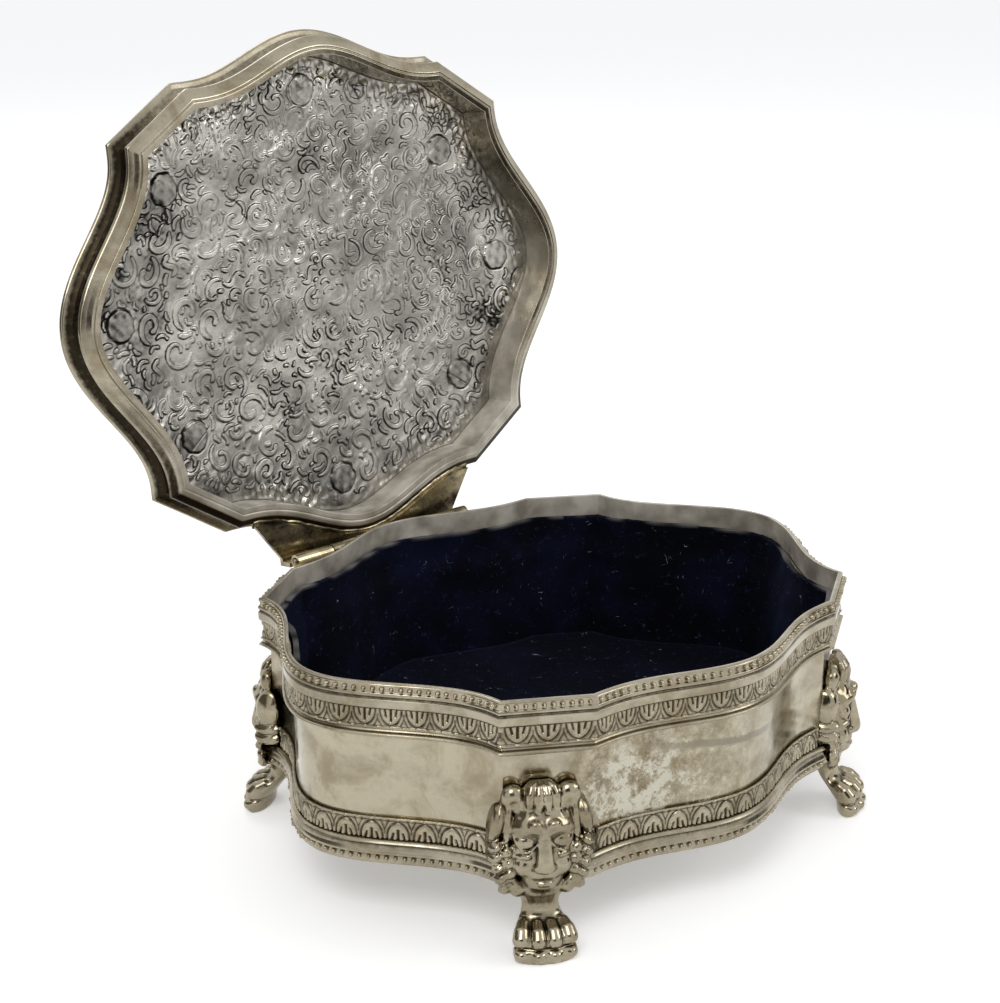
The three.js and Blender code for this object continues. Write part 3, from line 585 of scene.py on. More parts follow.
class Field:
    """Distances to rounded forms on a grid; forms are mirrored across the middle."""

    def __init__(self, low, high, step):
        axes = [np.arange(a, b, step) for a, b in zip(low, high)]
        self.low, self.step = np.array(low), step
        self.u, self.n, self.z = np.meshgrid(*axes, indexing="ij", sparse=True)
        self.side = np.abs(self.u)
        self.value = np.full([len(a) for a in axes], 1e3)

    def ball(self, centre, size, tilt=0):
        """An oval form; tilt turns its outer end up, in degrees."""
        c, s = math.cos(math.radians(tilt)), math.sin(math.radians(tilt))
        du, dn, dz = self.side - centre[0], self.n - centre[1], self.z - centre[2]
        p = [(du * c + dz * s) / size[0], dn / size[1], (dz * c - du * s) / size[2]]
        near = np.sqrt(p[0] ** 2 + p[1] ** 2 + p[2] ** 2)
        steep = np.sqrt((p[0] / size[0]) ** 2 + (p[1] / size[1]) ** 2 + (p[2] / size[2]) ** 2)
        return near * (near - 1) / np.maximum(steep, 1e-6)

    def rod(self, start, end, thick, thin=None):
        """A round bar that tapers from one end to the other."""
        thin = thick if thin is None else thin
        gap, along = from_line((self.side, self.n, self.z), start, end)
        return gap - (thick + (thin - thick) * along)

    def bent_rod(self, points):
        """A round bar through several points; each point's fourth number is how thick it is there."""
        parts = (self.rod(a[:3], b[:3], a[3], b[3]) for a, b in zip(points, points[1:]))
        return functools.reduce(np.minimum, parts)

    def loft(self, sections, droop=0):
        """An oval column given by rows of height, back, front and half width. Droop bends its levels down
        away from the middle of each half."""
        z, back, front, half = np.array(sections, float).T
        here = self.z + droop * (self.side - 2.5) ** 2
        at = lambda values: sum(np.interp(here + d, z, values) for d in (-0.5, -0.2, 0.2, 0.5)) / 4
        deep = (at(front) - at(back)) / 2
        oval = np.sqrt((self.u / at(half)) ** 2 + ((self.n - (at(front) + at(back)) / 2) / deep) ** 2) - 1
        return np.maximum(oval * np.minimum(at(half), deep), np.maximum(z[0] - here, here - z[-1]))

    def join(self, form, soft=0.5):
        mix = np.clip(0.5 + 0.5 * (self.value - form) / soft, 0, 1)
        self.value = self.value * (1 - mix) + form * mix - soft * mix * (1 - mix)

    def carve(self, form, soft=0.25):
        mix = np.clip(0.5 - 0.5 * (self.value + form) / soft, 0, 1)
        self.value = self.value * (1 - mix) - form * mix + soft * mix * (1 - mix)

    def surface(self):
        """Points and quads of the surface where the distance is nought, and how proud each point stands."""
        value = self.value
        soft = value
        for axis in (0, 1, 2) * 7:
            soft = (np.roll(soft, 1, axis) + 2 * soft + np.roll(soft, -1, axis)) / 4
        shape = np.array(value.shape)
        inside = value < 0
        corners = list(itertools.product((0, 1), repeat=3))
        block = lambda a, c: a[c[0]:shape[0] - 1 + c[0], c[1]:shape[1] - 1 + c[1], c[2]:shape[2] - 1 + c[2]]
        count = sum(block(inside, c).astype(int) for c in corners)
        mixed = (count > 0) & (count < 8)
        cells = np.argwhere(mixed)
        number = np.full(mixed.shape, -1)
        number[mixed] = np.arange(len(cells))
        total, hits = np.zeros((len(cells), 3)), np.zeros((len(cells), 1))
        for a, b in itertools.combinations(corners, 2):
            if np.abs(np.subtract(a, b)).sum() != 1:
                continue
            va, vb = value[tuple((cells + a).T)], value[tuple((cells + b).T)]
            crossed = (va < 0) != (vb < 0)
            share = (va / np.where(crossed, va - vb, 1))[:, None]
            total += np.where(crossed[:, None], a + share * np.subtract(b, a), 0)
            hits += crossed[:, None]
        points = self.low + self.step * (cells + total / hits)
        quads = []
        for axis in range(3):
            first, second = np.eye(3, dtype=int)[[(axis + 1) % 3, (axis + 2) % 3]]
            size = shape - np.eye(3, dtype=int)[axis]
            lower = inside[tuple(slice(0, s) for s in size)]
            upper = inside[tuple(slice(i == axis, None) for i in range(3))]
            edges = np.argwhere(lower != upper)
            kept = ((edges > 0) | (np.arange(3) == axis)).all(1) & (edges < shape - 1).all(1)
            edges = edges[kept]
            around = (first * 0, first, first + second, second)
            quad = np.stack([number[tuple((edges - o).T)] for o in around], -1)
            outward = lower[tuple(edges.T)]
            quads.append(np.where(outward[:, None], quad, quad[:, ::-1]))
        quads = np.concatenate(quads)
        return self.eased(points, quads), quads, (soft - value)[tuple(cells.T)]

    @staticmethod
    def eased(points, quads, rounds=2):
        """Points drawn halfway to the middle of their neighbours, to take out the grid's steps."""
        count = 2 * np.bincount(quads.ravel(), minlength=len(points))[:, None]
        for _ in range(rounds):
            total = np.zeros_like(points)
            for side in (1, 3):
                np.add.at(total, quads, points[np.roll(quads, side, axis=1)])
            points = (points + total / count) / 2
        return points


def paw(f):
    """A leg that slopes out from under the box, a paw with four broad toes, and a scalloped sole."""
    leg = [(1.5, 3.4, 8.2, 5.9), (3.4, 2.2, 8.0, 6.2), (4.8, 1.2, 7.2, 6.0), (6.0, 0.3, 5.8, 5.4),
           (7.0, -0.6, 4.2, 4.5), (8.0, -1.4, 3.2, 3.8), (9.9, -2.2, 2.8, 3.6), (11.5, -2.0, 3.2, 4.3),
           (12.7, -1.8, 3.5, 5.4), (13.8, -1.6, 3.4, 6.2)]
    sole = [(0, 3.2, 8.4, 5.9), (0.4, 3.0, 8.7, 6.2), (2.4, 2.9, 8.6, 6.3), (2.9, 3.2, 8.2, 5.9)]
    for sections in (leg, sole):
        f.join(f.loft(sections), 0.3)
    for across, reach in ((1.6, 9.1), (4.75, 8.0)):
        f.join(f.bent_rod([(across * 0.85, reach - 4.5, 6.5, 1.2), (across * 0.95, reach - 3.0, 5.5, 1.6),
                           (across, reach - 2.1, 4.4, 1.75)]), 0.5)
        f.join(f.ball((across, reach - 1.5, 1.6), (1.62, 1.75, 1.4)), 0.15)
    for across, reach in ((0, 9.3), (3.2, 8.6)):
        f.carve(f.bent_rod([(across, reach, 2.6, 0.2), (across, reach - 1.2, 5.2, 0.2),
                            (across * 0.85, reach - 3.6, 7.2, 0.2)]), 0.35)
    f.value = f.value + 0.3 * groove(f.z - 3.05, 0.26)


def mask(f):
    """An oval face: broad brows over heavy lids, a straight nose, full cheeks, a small mouth, round ears."""
    f.join(f.loft([(12.4, -0.6, 3.2, 3.0), (13.8, 0.2, 4.0, 3.2), (15.0, 0.0, 4.8, 3.8), (17, -0.6, 5.1, 4.6),
                   (20, -1, 5.1, 5.3), (23, -1, 4.8, 5.9), (25.4, -1, 4.9, 6.1), (26.5, -1, 5.7, 6.2),
                   (27.3, -1, 5.9, 6.1), (28.5, -1, 5.4, 5.9), (30.2, -1, 4.3, 5.4), (32, -1, 3.2, 4.8),
                   (33.5, -1, 2.3, 4.0), (34.8, -1, 1.2, 2.8), (35.5, -1, 0.4, 1.6)], droop=0.06))
    for across in (0.65, 1.95):
        top, foot = (across, 4.2 - across * 0.2, 12.9), (across * 0.9, 3.3 - across * 0.2, 10.2)
        f.carve(f.rod(top, foot, 0.45, 0.12), 0.4)
    # Brows that bulge beside the nose, with a furrow between them
    f.join(f.bent_rod([(1.2, 5.2, 27.2, 0.6), (2.6, 5.1, 27.6, 0.7), (4.4, 4.1, 27.5, 0.6),
                       (5.9, 2.6, 26.6, 0.5)]), 0.6)
    f.join(f.ball((1.7, 5.1, 28.2), (1.35, 1.1, 1.1), 25), 0.5)
    f.carve(f.rod((0, 6.6, 30.2), (0, 6.7, 26.8), 0.4, 0.35), 0.6)
    # Eyes
    f.carve(f.ball((3.6, 6.2, 24.6), (2.5, 1.7, 1.75), 4), 0.4)
    f.join(f.ball((3.5, 3.4, 24.4), (2.35, 1.75, 1.7), 4), 0.15)
    f.join(f.bent_rod([(5.9, 3.3, 25.6, 0.2), (5.2, 4.0, 23.9, 0.26), (4.5, 4.5, 22.9, 0.3),
                       (3.6, 4.9, 22.5, 0.3), (2.3, 5.2, 23.2, 0.25), (1.4, 5.2, 24.6, 0.2)]), 0.2)
    # Nose
    f.join(f.rod((0, 4.4, 27.2), (0, 5.6, 20.3), 1.1, 1.7), 0.4)
    f.join(f.ball((0, 5.8, 19.4), (1.9, 1.4, 1.15)), 0.5)
    f.join(f.ball((1.5, 5.3, 19.2), (0.8, 0.9, 0.8)), 0.3)
    f.carve(f.rod((1.6, 6.2, 25.2), (2.3, 6.5, 20.6), 0.2, 0.3), 0.5)
    # Cheekbones, cheeks, lips and chin
    f.join(f.bent_rod([(5.7, 2.6, 20.9, 0.35), (4.4, 3.9, 21.3, 0.5), (3.1, 4.6, 21.5, 0.6)]), 0.4)
    f.join(f.ball((3.5, 2.7, 18.8), (2.3, 2.3, 2.2)), 0.6)
    f.join(f.ball((1.2, 4.4, 17.6), (1.8, 1.3, 1.0)), 0.6)
    f.carve(f.rod((2.5, 6.1, 20.2), (3.0, 5.3, 16.8), 0.25), 0.5)
    f.carve(f.rod((0, 6.3, 16.55), (2.1, 5.5, 16.4), 0.42, 0.2), 0.2)
    f.join(f.ball((0, 4.8, 15.7), (1.8, 0.95, 0.6)), 0.25)
    f.join(f.ball((0, 3.8, 14.9), (2.4, 1.5, 1.1)), 0.5)
    # Forelock combed down in four locks, and round ears with a shallow hollow below
    f.join(f.ball((0, 1.0, 32.7), (3.5, 2.6, 3.0)), 0.3)
    for across in (0.8, 2.4):
        f.join(f.bent_rod([(across * 0.5, 1.3, 35.5, 0.6), (across * 0.85, 2.7 - across * 0.2, 34.8, 0.8),
                           (across, 3.5 - across * 0.3, 33.6, 0.95),
                           (across * 1.05, 3.9 - across * 0.35, 32.2, 0.95),
                           (across * 1.1, 4.0 - across * 0.4, 30.6, 0.7)]), 0.15)
    f.join(f.ball((5.4, 0.8, 32.3), (2.5, 1.9, 2.8), -10), 0.3)
    f.carve(f.ball((5.6, 3.9, 31.0), (2.1, 1.9, 2.1), -10), 0.5)


def mane(f):
    """A long lock and a thin strand at each temple, then wavy locks down to a curl beside the chin."""
    f.join(f.ball((8.6, -0.3, 27.3), (1.75, 3.1, 4.1), 13), 0.35)
    f.join(f.ball((6.7, 1.7, 27.0), (0.95, 1.2, 4.2), 5), 0.25)
    f.carve(f.rod((7.6, 3.0, 30.6), (8.8, 3.1, 24.4), 0.2), 0.4)
    for step in range(4):
        z, across = 22.9 - 2.3 * step, 9.0 - 0.12 * step ** 2
        f.join(f.ball((across, -0.1, z), (1.85, 3.4, 1.45), -30), 0.4)
        f.join(f.ball((across - 2.2, 2.0, z - 1.2), (1.4, 1.6, 1.35), 25), 0.4)
    f.join(f.ball((6.9, 2.0, 14.2), (1.9, 1.5, 1.3), -35), 0.4)
    f.join(f.ball((4.9, 2.2, 13.6), (1.6, 1.5, 1.7), -30), 0.3)
    wavy = smoothstep(5.9, 7.0, f.side) * smoothstep(12, 13.5, f.z) * (1 - smoothstep(23.5, 25.5, f.z))
    f.value = f.value + 0.13 * wavy * np.cos(2 * np.pi * (f.z + 0.75 * f.side + 0.3 * f.n) / 1.05)
    long = smoothstep(6.2, 7.2, f.side) * smoothstep(23.5, 25.5, f.z)
    f.value = f.value + 0.06 * long * np.cos(2 * np.pi * (f.side + 0.22 * f.z) / 0.95)


def lion_foot():
    """The whole foot, cut back to lie against the wall and over the base moulding."""
    f = Field((-12.2, -3.2, -0.8), (12.2, 11.2, 38.2), FOOT_CELL)
    paw(f)
    mask(f)
    mane(f)
    under, over = BASE_LOW - FLOOR - 0.3, LEDGE - FLOOR + 0.3
    f.carve(np.maximum(f.n - 1.6, np.maximum(under - f.z, f.z - over)) + 0 * f.u, 0.05)
    behind = -0.3 - 1.2 * np.clip(f.side - 7.8, 0, None)
    f.carve(np.maximum(f.n - behind, over - 0.1 - f.z), 0.05)
    return f.surface()


def feet():
    points, quads, proud = lion_foot()
    hollow = np.clip(0.12 - 4.0 * proud, 0, 1)
    cant = np.array([CANT_DEPTH, CANT_WIDTH]) / math.hypot(CANT_DEPTH, CANT_WIDTH)
    middle = np.array([(SIDE_X + FRONT_X) / 2, (SIDE_Y + FRONT_Y) / 2]) + FOOT_SHIFT * cant[::-1] * [1, -1]
    ends, sides = (("front", -1), ("back", 1)), (("left", -1), ("right", 1))
    for (end, sy), (side, sx) in itertools.product(ends, sides):
        name = end + "_" + side
        out = cant * [sx, sy]
        across = np.array([out[1], -out[0]])
        flat = middle * [sx, sy] + points[:, :1] * across + points[:, 1:2] * out
        placed = np.concatenate([flat, points[:, 2:] + FLOOR], 1)
        piece("lion_foot_" + name, placed, [quads], "box", CAST, "plate", "foot_" + name, sharp=180,
              hollow=hollow)


# Lid

def lid_tones(points, hollow, haze):
    """Towards the hinge the inner wall and the rim's face are hazier, with a pale matt film that is partly
    painted light, and the ridge is blackened. The cove's painted shade is darkest on the left and halved
    elsewhere, where the cove is taken as lit."""
    near, hinge = smoothstep(-45, 45, points[:, 1]), smoothstep(15, 42, points[:, 1])
    high = points[:, 2] - LID_Z
    face, ridge = hinge * (high < 0.3), hinge * ((high > 0.4) & (high < 5) & (haze == 0))
    lit = 0.5 * (1 - smoothstep(-38, -52, points[:, 0])) * ((high > 2.2) & (high < 6.2))
    haze = np.clip(haze * (0.15 + 1.7 * near) + 0.7 * face, 0, 1)
    return hollow * (1 - face) * (1 - lit) + 0.7 * ridge, haze


def lid_frame():
    z = LID_Z
    # The cove's hollowness, up to 0.95, is painted shade, and the inner wall's haze is a matt film that is
    # partly painted light.
    ring("lid_moulding", "lid_frame", [
        (-1.9, z, 0, 0.2), (-1.9, z + 9.4, 0, 0.6), (-5.9, z + 9.4), (-5.9, z + 10.3), (-1.9, z + 10.1),
        (3.6, z + 7.3), (4.0, z + 6.9), (4.0, z + 6.3), (3.7, z + 6.0, 0.4), (2.6, z + 5.7, 0.95),
        (1.8, z + 5.1, 0.95), (1.5, z + 4.4, 0.85), (1.5, z + 3.5, 0.6), (1.9, z + 2.6, 0.35), (2.5, z + 1.9),
        (2.45, z + 1.3), (2.2, z + 1.0, 0.35), (1.2, z + 0.55, 0.3), (0.4, z + 0.12), (0.15, z), (-0.3, z),
        (-0.45, z + 0.15, 0.6), (-0.6, z), (-1.6, z)],
        PLAIN, radius=0.16, body="lid", turn=opened, aged=lid_tones)


# The panel's cast pads: one at each lobe and one at each cant
PADS = [(sx * (RIM_LENGTH / 2 - 12.2), 0) for sx in (-1, 1)]
PADS += [(0, sy * (RIM_DEPTH / 2 - 9.5)) for sy in (-1, 1)]
PADS += [(sx * (SIDE_X - 10.4), sy * (SIDE_Y - 9.1)) for sx in (-1, 1) for sy in (-1, 1)]
PAD_RADIUS = 3.5
# Where the panel is most tarnished: across, back, and how far it spreads
TARNISH_SPOTS = [(-50, 0, 11), (-42, -20, 8), (37, -3, 9), (49, 13, 8), (1, 16, 8), (0, -30, 5), (-13, 27, 8)]


def scroll_stroke(kind, size):
    """Middle line and half widths of a curling stroke, about the origin."""
    t = np.linspace(0, 1, 18)
    if kind == "curl":
        turn, reach = rng.uniform(3.4, 6.0) * t, size * (1 - 0.7 * t)
        line = np.stack([reach * np.cos(turn), reach * np.sin(turn) * rng.uniform(0.75, 1.1)], -1)
    elif kind == "wave":
        bend = rng.uniform(0.3, 0.6)
        line = np.stack([size * (2 * t - 1), bend * size * np.sin(2 * np.pi * t)], -1)
    else:
        line = np.stack([size * (2 * t - 1), rng.uniform(0.2, 0.6) * size * (2 * t - 1) ** 2], -1)
    bulb = 0.3 * np.exp(-((t - 0.97) / 0.06) ** 2)
    return line, rng.uniform(0.8, 1.35) * (0.3 + 0.34 * np.sin(np.pi * t ** 0.75) ** 0.8 + bulb)


class ScrollSheet:
    """A drawing of raised scrollwork on a sheet: the distance into the nearest stroke, on a fine grid."""

    def __init__(self, half_x, half_y, step):
        self.step, self.half = step, (half_x, half_y)
        self.x, self.y = np.arange(-half_x, half_x, step), np.arange(-half_y, half_y, step)
        self.gap = np.full((len(self.x), len(self.y)), 9.0)

    def stroke(self, line, half, clear):
        """Draws a stroke if it keeps clear of those already there."""
        reach = 1.5
        low, high = line.min(0) - reach, line.max(0) + reach
        i = slice(*np.searchsorted(self.x, [low[0], high[0]]))
        j = slice(*np.searchsorted(self.y, [low[1], high[1]]))
        x, y = np.meshgrid(self.x[i], self.y[j], indexing="ij")
        if x.size == 0:
            return
        near = np.full(x.shape, 9.0)
        for a, b, ra, rb in zip(line[:-1], line[1:], half[:-1], half[1:]):
            gap, along = from_line((x, y), a, b)
            near = np.minimum(near, gap - ra - (rb - ra) * along)
        if (self.gap[i, j][near < 0] > clear).all():
            self.gap[i, j] = np.minimum(self.gap[i, j], near)

    def read(self, px, py):
        """The distance at any points, between the grid's own."""
        gx, gy = (px + self.half[0]) / self.step, (py + self.half[1]) / self.step
        i = np.clip(gx.astype(int), 0, len(self.x) - 2)
        j = np.clip(gy.astype(int), 0, len(self.y) - 2)
        a, b = np.clip(gx - i, 0, 1), np.clip(gy - j, 0, 1)
        g = self.gap
        return (g[i, j] * (1 - a) * (1 - b) + g[i + 1, j] * a * (1 - b) + g[i, j + 1] * (1 - a) * b
                + g[i + 1, j + 1] * a * b)


def scrollwork():
    """Scrolls with leaf sprays between them, each one drawn where there is room, the large ones first."""
    sheet = ScrollSheet(RIM_LENGTH / 2, RIM_DEPTH / 2, 0.17)
    for kind, size, tries, fan in (("curl", 3.4, 420, 1), ("wave", 2.6, 120, 1), ("comma", 1.5, 500, 4),
                                   ("curl", 2.4, 900, 1), ("comma", 1.1, 900, 3), ("comma", 2.0, 800, 1),
                                   ("wave", 1.6, 300, 1), ("curl", 1.5, 1400, 1), ("comma", 1.0, 2400, 1),
                                   ("comma", 0.45, 3000, 1)):
        for _ in range(tries):
            place = rng.uniform(-1, 1, 2) * sheet.half
            turn, flip = rng.uniform(0, 2 * np.pi), rng.choice([-1, 1])
            line, half = scroll_stroke(kind, size * rng.uniform(0.85, 1.2))
            for leaf in range(fan):
                way = turn + 0.75 * (leaf - (fan - 1) / 2)
                c, s = math.cos(way), math.sin(way)
                out = [1.3 * size, 0] if fan > 1 else [0, 0]
                placed = (line * [1, flip] + out) @ np.array([[c, s], [-s, c]]) + place
                if min(np.hypot(*(placed - pad).T).min() for pad in PADS) > PAD_RADIUS + 0.8:
                    sheet.stroke(placed, half * min(1, 0.55 + size / 7), 0.3)
    return sheet


class Plate:
    """A square grid of points whose nested squares are drawn out to the lines of a plate's outline."""

    def __init__(self, cells, run, away):
        step = np.linspace(-1, 1, cells + 1)
        a, b = np.meshgrid(step, step, indexing="ij")
        share = np.maximum(np.abs(a), np.abs(b))
        beside = np.abs(a) >= np.abs(b)
        slant = np.where(beside, b, a) / np.where(share == 0, 1, np.where(beside, a, b))
        turn = np.where(beside, np.pi / 4 * slant + np.pi * (a < 0),
                        np.pi / 2 - np.pi / 4 * slant + np.pi * (b < 0))
        line, way = run.row(away)
        angle = np.arctan2(line[:, 1], line[:, 0])
        at = lambda values: np.interp(turn, angle, values, period=2 * np.pi)
        reach = at(line[:, 0]) * at(way[:, 0]) + at(line[:, 1]) * at(way[:, 1])
        self.x, self.y = share * at(line[:, 0]), share * at(line[:, 1])
        self.from_edge = (1 - share) * reach
        self.quads = grid_quads(cells + 1, cells + 1)
        i, last = np.arange(cells), cells * (cells + 1)
        rows = i * (cells + 1)
        self.edge = np.concatenate([rows, last + i, last + cells - rows, cells - i])


def panel_shape(plate, sheet):
    """How far the panel's ornament stands below its sheet, and how dark its lines are."""
    x, y, from_edge = plate.x, plate.y, plate.from_edge
    gap = sheet.read(x, y) + 9 * smoothstep(2.5, 0.8, from_edge)
    scroll = smoothstep(0.14, -0.14, gap)
    crinkle = waves(x, y, 2.4, 21) * (1 - smoothstep(2, 8, from_edge)) * smoothstep(0, 1.2, from_edge)
    front = smoothstep(-18, -40, y)
    crinkle *= 0.5 + 0.5 * waves(x, y, 30, 24) + 0.8 * front
    pads, crevice = np.zeros_like(x), np.zeros_like(x)
    for number, (px, py) in enumerate(PADS):
        turn = np.arctan2(y - py, x - px)
        ragged = 0.16 * waves(3 * np.cos(turn), 3 * np.sin(turn), 1.6, 40 + number)
        r = np.hypot(x - px, y - py) + ragged
        depth = 0.65 + 0.5 * waves(2 * np.cos(turn), 2 * np.sin(turn), 3, 50 + number)
        pads = np.maximum(pads, 1 - smoothstep(PAD_RADIUS - 0.1, PAD_RADIUS + 0.1, r))
        crevice = np.maximum(crevice, groove(r - PAD_RADIUS - 0.15, 0.22) * np.clip(depth, 0.15, 1))
    worn = 0.8 + 0.2 * waves(x, y, 24, 22)
    lift = 0.45 * scroll * worn * (1 - pads) + 0.35 * pads - 0.4 * crevice + 0.3 * crinkle
    lift += 0.03 * waves(x, y, 2.6, 23)
    lines = (0.7 + 0.42 * waves(x, y, 15, 26)) * groove(gap - 0.02, 0.16)
    edges = (0.34 + 0.26 * waves(x, y, 13, 27)) * (1 - smoothstep(1, 15, from_edge)) * (1 - 0.6 * front)
    edges += (0.3 + 0.2 * waves(x, y, 2.5, 28)) * pads
    spots = sum(groove(np.hypot(x - sx, y - sy), reach) for sx, sy, reach in TARNISH_SPOTS)
    blotches = np.clip(spots + 0.35 * waves(x, y, 6, 30) - 0.1, 0, 1) * (0.5 + 0.25 * waves(x, y, 1.6, 32))
    blotches *= 1 - 0.65 * pads
    tarnish = (edges + blotches) * (1 - 0.6 * scroll) * smoothstep(0.3, 1.2, from_edge)
    return lift, np.clip(np.maximum(lines, crevice) + tarnish, 0, 1)


def closed_plate(fine, coarse, fine_z, coarse_z):
    """Points and faces of a sheet: a fine face looking down, a face half as fine above it, and their edge."""
    points = [np.stack([p.x, p.y, z], -1).reshape(-1, 3) for p, z in ((fine, fine_z), (coarse, coarse_z))]
    start = len(points[0])
    low, high = fine.edge.reshape(-1, 2), coarse.edge + start
    rim = np.stack([low[:, 0], low[:, 1], np.roll(low[:, 0], -1), np.roll(high, -1), high], -1)
    return np.concatenate(points), [fine.quads[:, ::-1], coarse.quads + start, rim]


def lid_panel():
    """The embossed sheet under the lid's flange: domed, with raised scrolls and eight flat cast pads."""
    run, sheet = Run(0.3), scrollwork()
    fine = 560
    under, top = Plate(fine, run, -PANEL_INSET), Plate(fine // 2, run, -PANEL_INSET)
    heights, hollow = [], []
    for plate, rise, share in ((under, 0, 1), (top, 1.0, 0.8)):
        lift, dark = panel_shape(plate, sheet)
        heights.append(LID_Z + LID_DEPTH + rise + smoothstep(1.5, 16.0, plate.from_edge) - share * lift)
        hollow.append(dark.ravel())
    points, faces = closed_plate(under, top, *heights)
    piece("lid_embossed_sheet", opened(points), faces, "lid", STAMPED, "panel", "lid_panel", sharp=180,
          hollow=np.concatenate(hollow))


# Velvet lining

def lining_strip(side, run, start, end):
    """A strip of velvet glued to the wall between two lengths round the plan, with a wavering cut edge."""
    node = "lining_" + side
    foot, top = level(node, 0), level(node, 1)
    travel = travelled(closed(run.point))
    at = np.linspace(start, end, int((end - start) / LINING_STEP))
    part = Run(LINING_STEP, [0])
    part.point, part.out = (read_along(at % travel[-1], travel, closed(v)) for v in (run.point, run.out))
    seed = int(start)
    rows = np.append(np.linspace(0, 0.975, 24), 1)
    top_edge = top + 0.35 * waves(at, at * 0, 26, seed) + 0.06 * waves(at, at * 0, 2.5, seed + 3)
    z = foot + rows[None, :] * (top_edge[:, None] - foot)
    outer = smoothstep(NECK - 1.5, NECK, z)
    pucker = waves(at[:, None], z, 9, seed + 1)
    inner = outer - 0.9 + 0.22 * pucker - 0.3 * smoothstep(0.92, 1, rows)
    points, faces = swept(part, set_out(part, np.concatenate([outer, inner[:, ::-1]], 1)),
                          np.concatenate([z, z[:, ::-1]], 1))
    frayed = np.clip(0.25 + 0.5 * waves(at, at * 0, 9, seed + 2), 0, 0.8)
    cut = np.concatenate([rows, rows[::-1]])[None, :] > 0.99
    made = piece("velvet_" + side, points, [f[:, ::-1] for f in faces], "box", VELVET, "velvet", node,
                 sharp=60, cut=cut * frayed[:, None])


def lining():
    """Five strips, joined at the middle of each cant and once on the right-hand wall."""
    run = Run(LINING_STEP, away=-LINING_INSET)
    ends = travelled(closed(run.point))
    marks = ends[np.cumsum([0] + [len(share) for share in run.shares])]
    back_right, back_left = (marks[1] + marks[2]) / 2, (marks[3] + marks[4]) / 2
    half = marks[4]
    right_join = marks[1] - RIGHT_JOIN
    strips = {"back": (back_right, back_left), "left": (back_left, back_right + half),
              "front": (back_right + half, back_left + half),
              "right_front": (back_left + half, right_join + 2 * half),
              "right_back": (right_join, back_right)}
    for side, (start, end) in strips.items():
        lining_strip(side, run, start + JOIN_GAP / 2, end - JOIN_GAP / 2)


def floor_pad():
    """A thin board wrapped in the same velvet, rounded over at its edge."""
    low, high = level("lining_floor_pad", 0), level("lining_floor_pad", 1)
    run = Run(LINING_STEP)
    top, under = (Plate(cells, run, -PAD_INSET) for cells in (96, 48))
    rise = (high - low - 1.0) * smoothstep(0, 4, top.from_edge) ** 0.6
    crown = low + 0.8 + rise + 0.15 * waves(top.x, top.y, 14, 31)
    points, faces = closed_plate(top, under, crown, np.full_like(under.x, low))
    pad = piece("velvet_floor_pad", points, [f[:, ::-1] for f in faces], "box", PAD_VELVET_PAINTED_DARKER, "velvet",
                "lining_floor_pad", sharp=60)


# Solder, then the hinge and base plate, which keep their solids with eased edges

def solder_run():
    """Uneven solder that closes the joint between the lid's ridge and its hinge leaf."""
    run = Run(0.4, [2], inset=3.0)
    lumps = 0.12 * waves(*run.point.T, 3, 61)[:, None]
    section = np.array([(1.6, 0.8), (2.3, 0.75), (3.1, 1.1), (3.5, 1.25), (3.2, 1.6), (2.3, 1.7), (1.7, 1.4)])
    points, faces = swept(run, set_out(run, section[:, 0] + lumps), LID_Z + section[:, 1] + 0.5 * lumps)
    piece("hinge_solder", opened(points), faces, "lid", HINGE_METAL, "hinge_steel", sharp=180)


def kept_solids():
    """The hinge and the base plate, whose solids only need their finish and a little edge."""
    for name, material in (("hinge_box_leaf", HINGE_METAL), ("hinge_lid_leaf", HINGE_METAL),
                           ("hinge_pin", HINGE_METAL), ("base_plate", PLAIN)):
        node = frame["nodes"][name]
        node.data.materials.clear()
        node.data.materials.append(material)
        eased = node.modifiers.new("eased edges", "BEVEL")
        eased.width, eased.segments, eased.limit_method = 0.12 * MM, 2, "ANGLE"


# Stage: floor, boards, world, lamps and camera

def seen_directly(add, strength):
    """That strength for rays that see the background or its mirror image, and 0 for those that give light."""
    path = add("LightPath", {}, None)
    shine = add("Math", {0: path["Is Glossy Ray"], 1: path["Is Transmission Ray"]}, operation="MAXIMUM")
    seen = add("Math", {0: path["Is Camera Ray"], 1: shine}, operation="MAXIMUM")
    return add("Math", {0: seen, 1: strength}, operation="MULTIPLY")


def staged(name, corners, material):
    """A flat board or floor, which isn't part of the object."""
    mesh = bpy.data.meshes.new(name)
    mesh.from_pydata(corners, [], [(0, 1, 2, 3)])
    mesh.materials.append(material)
    made = bpy.data.objects.new(name, mesh)
    bpy.context.scene.collection.objects.link(made)
    return made


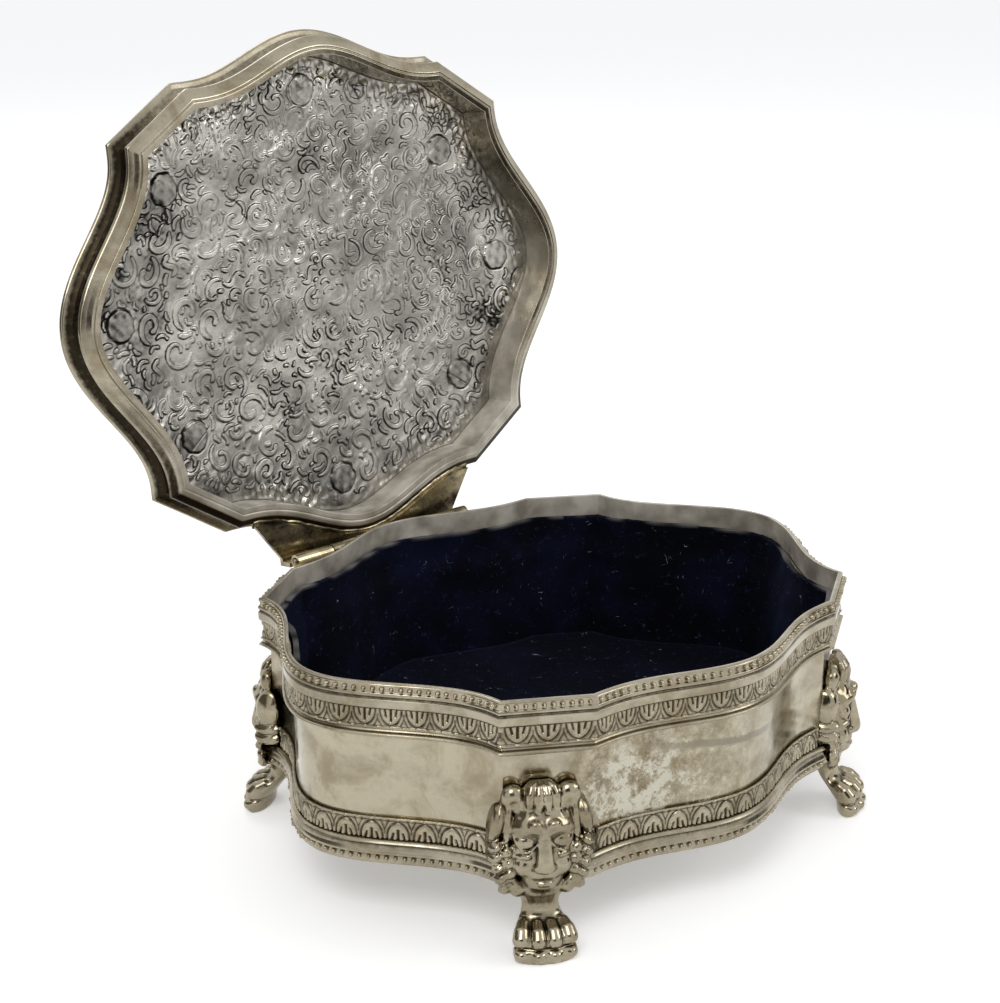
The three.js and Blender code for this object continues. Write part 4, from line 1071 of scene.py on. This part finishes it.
def stage():
    reach, ground = 3.0, FLOOR * MM
    paper, add = new_material("matt white paper")
    white = add("BsdfDiffuse", {"Color": linear("#f4f4f3")})
    glow = add("Emission", {"Color": linear("#ffffff"), "Strength": seen_directly(add, 0.33)})
    both = add("AddShader", {0: white, 1: glow})
    add("OutputMaterial", {"Surface": both}, None)
    staged("floor", [(-reach, -reach, ground), (reach, -reach, ground), (reach, reach, ground),
                     (-reach, reach, ground)], paper)

    # Boards that only the metal sees, for its dark reflections
    for name, (x0, y0), (x1, y1), low, high, tone in (
            ("left board", (-0.36, 0.0), (-0.30, 0.55), 0.04, 0.30, "#807b74"),
            ("front board", (-0.62, -0.36), (-0.30, -0.66), 0.16, 0.52, "#3a3733"),
            ("right board", (0.70, -0.85), (1.15, -0.45), ground, 0.40, "#3a3733")):
        felt, add = new_material("felt of the " + name)
        grey = add("BsdfDiffuse", {"Color": linear(tone)})
        add("OutputMaterial", {"Surface": grey}, None)
        board = staged(name, [(x0, y0, low), (x1, y1, low), (x1, y1, high), (x0, y0, high)], felt)
        board.visible_camera = False

    world = bpy.data.worlds.new("studio")
    world.use_nodes = True
    world.node_tree.nodes.clear()
    add = functools.partial(put, world.node_tree)
    white = add("Background", {"Color": linear("#ffffff"), "Strength": 1.0})
    soft = add("Background", {"Color": linear("#f6f7fa"), "Strength": 0.7})
    both = add("MixShader", {0: seen_directly(add, 1.0), 1: soft, 2: white})
    add("OutputWorld", {"Surface": both}, None)
    bpy.context.scene.world = world

    for name, place, size, power in (("key lamp", (-0.55, -0.35, 0.75), 0.45, 3.0),
                                     ("side lamp", (0.5, -0.6, 0.5), 0.35, 1.2),
                                     ("back lamp", (0.25, 0.7, 0.7), 0.4, 1.6)):
        lamp = bpy.data.objects.new(name, bpy.data.lights.new(name, "AREA"))
        lamp.data.energy, lamp.data.size = power, size
        lamp.location = place
        lamp.rotation_mode = "QUATERNION"
        lamp.rotation_quaternion = (Vector((0, 0, 0.03)) - Vector(place)).to_track_quat("-Z", "Y")
        bpy.context.scene.collection.objects.link(lamp)


def camera():
    """The photograph's view: from the front left, a little above."""
    azimuth, elevation, roll = (math.radians(a) for a in (-42.827, 18.573, -0.12))
    made = bpy.data.objects.new("camera", bpy.data.cameras.new("camera"))
    made.matrix_world = Matrix.Translation(Vector((-294.4, -299.8, 196.7)) * MM)
    for angle, axis in ((azimuth, "Z"), (math.pi / 2 - elevation, "X"), (roll, "Z")):
        made.matrix_world = made.matrix_world @ Matrix.Rotation(angle, 4, axis)
    made.data.lens, made.data.sensor_width = 74.63, 36.0
    made.data.clip_start = 0.01
    bpy.context.scene.collection.objects.link(made)
    bpy.context.scene.camera = made
    bpy.context.scene.view_settings.view_transform = "Standard"


walls_and_mouldings()
bead_wire("rim_beads", "rim_bead_wire", 1.2, RIM_BEAD_Z)
bead_wire("base_beads", "base_bead_wire", 0.25, BASE_BEAD_Z)
galleries()
feet()
lid_frame()
lid_panel()
lining()
floor_pad()
solder_run()
kept_solids()
stage()
camera()
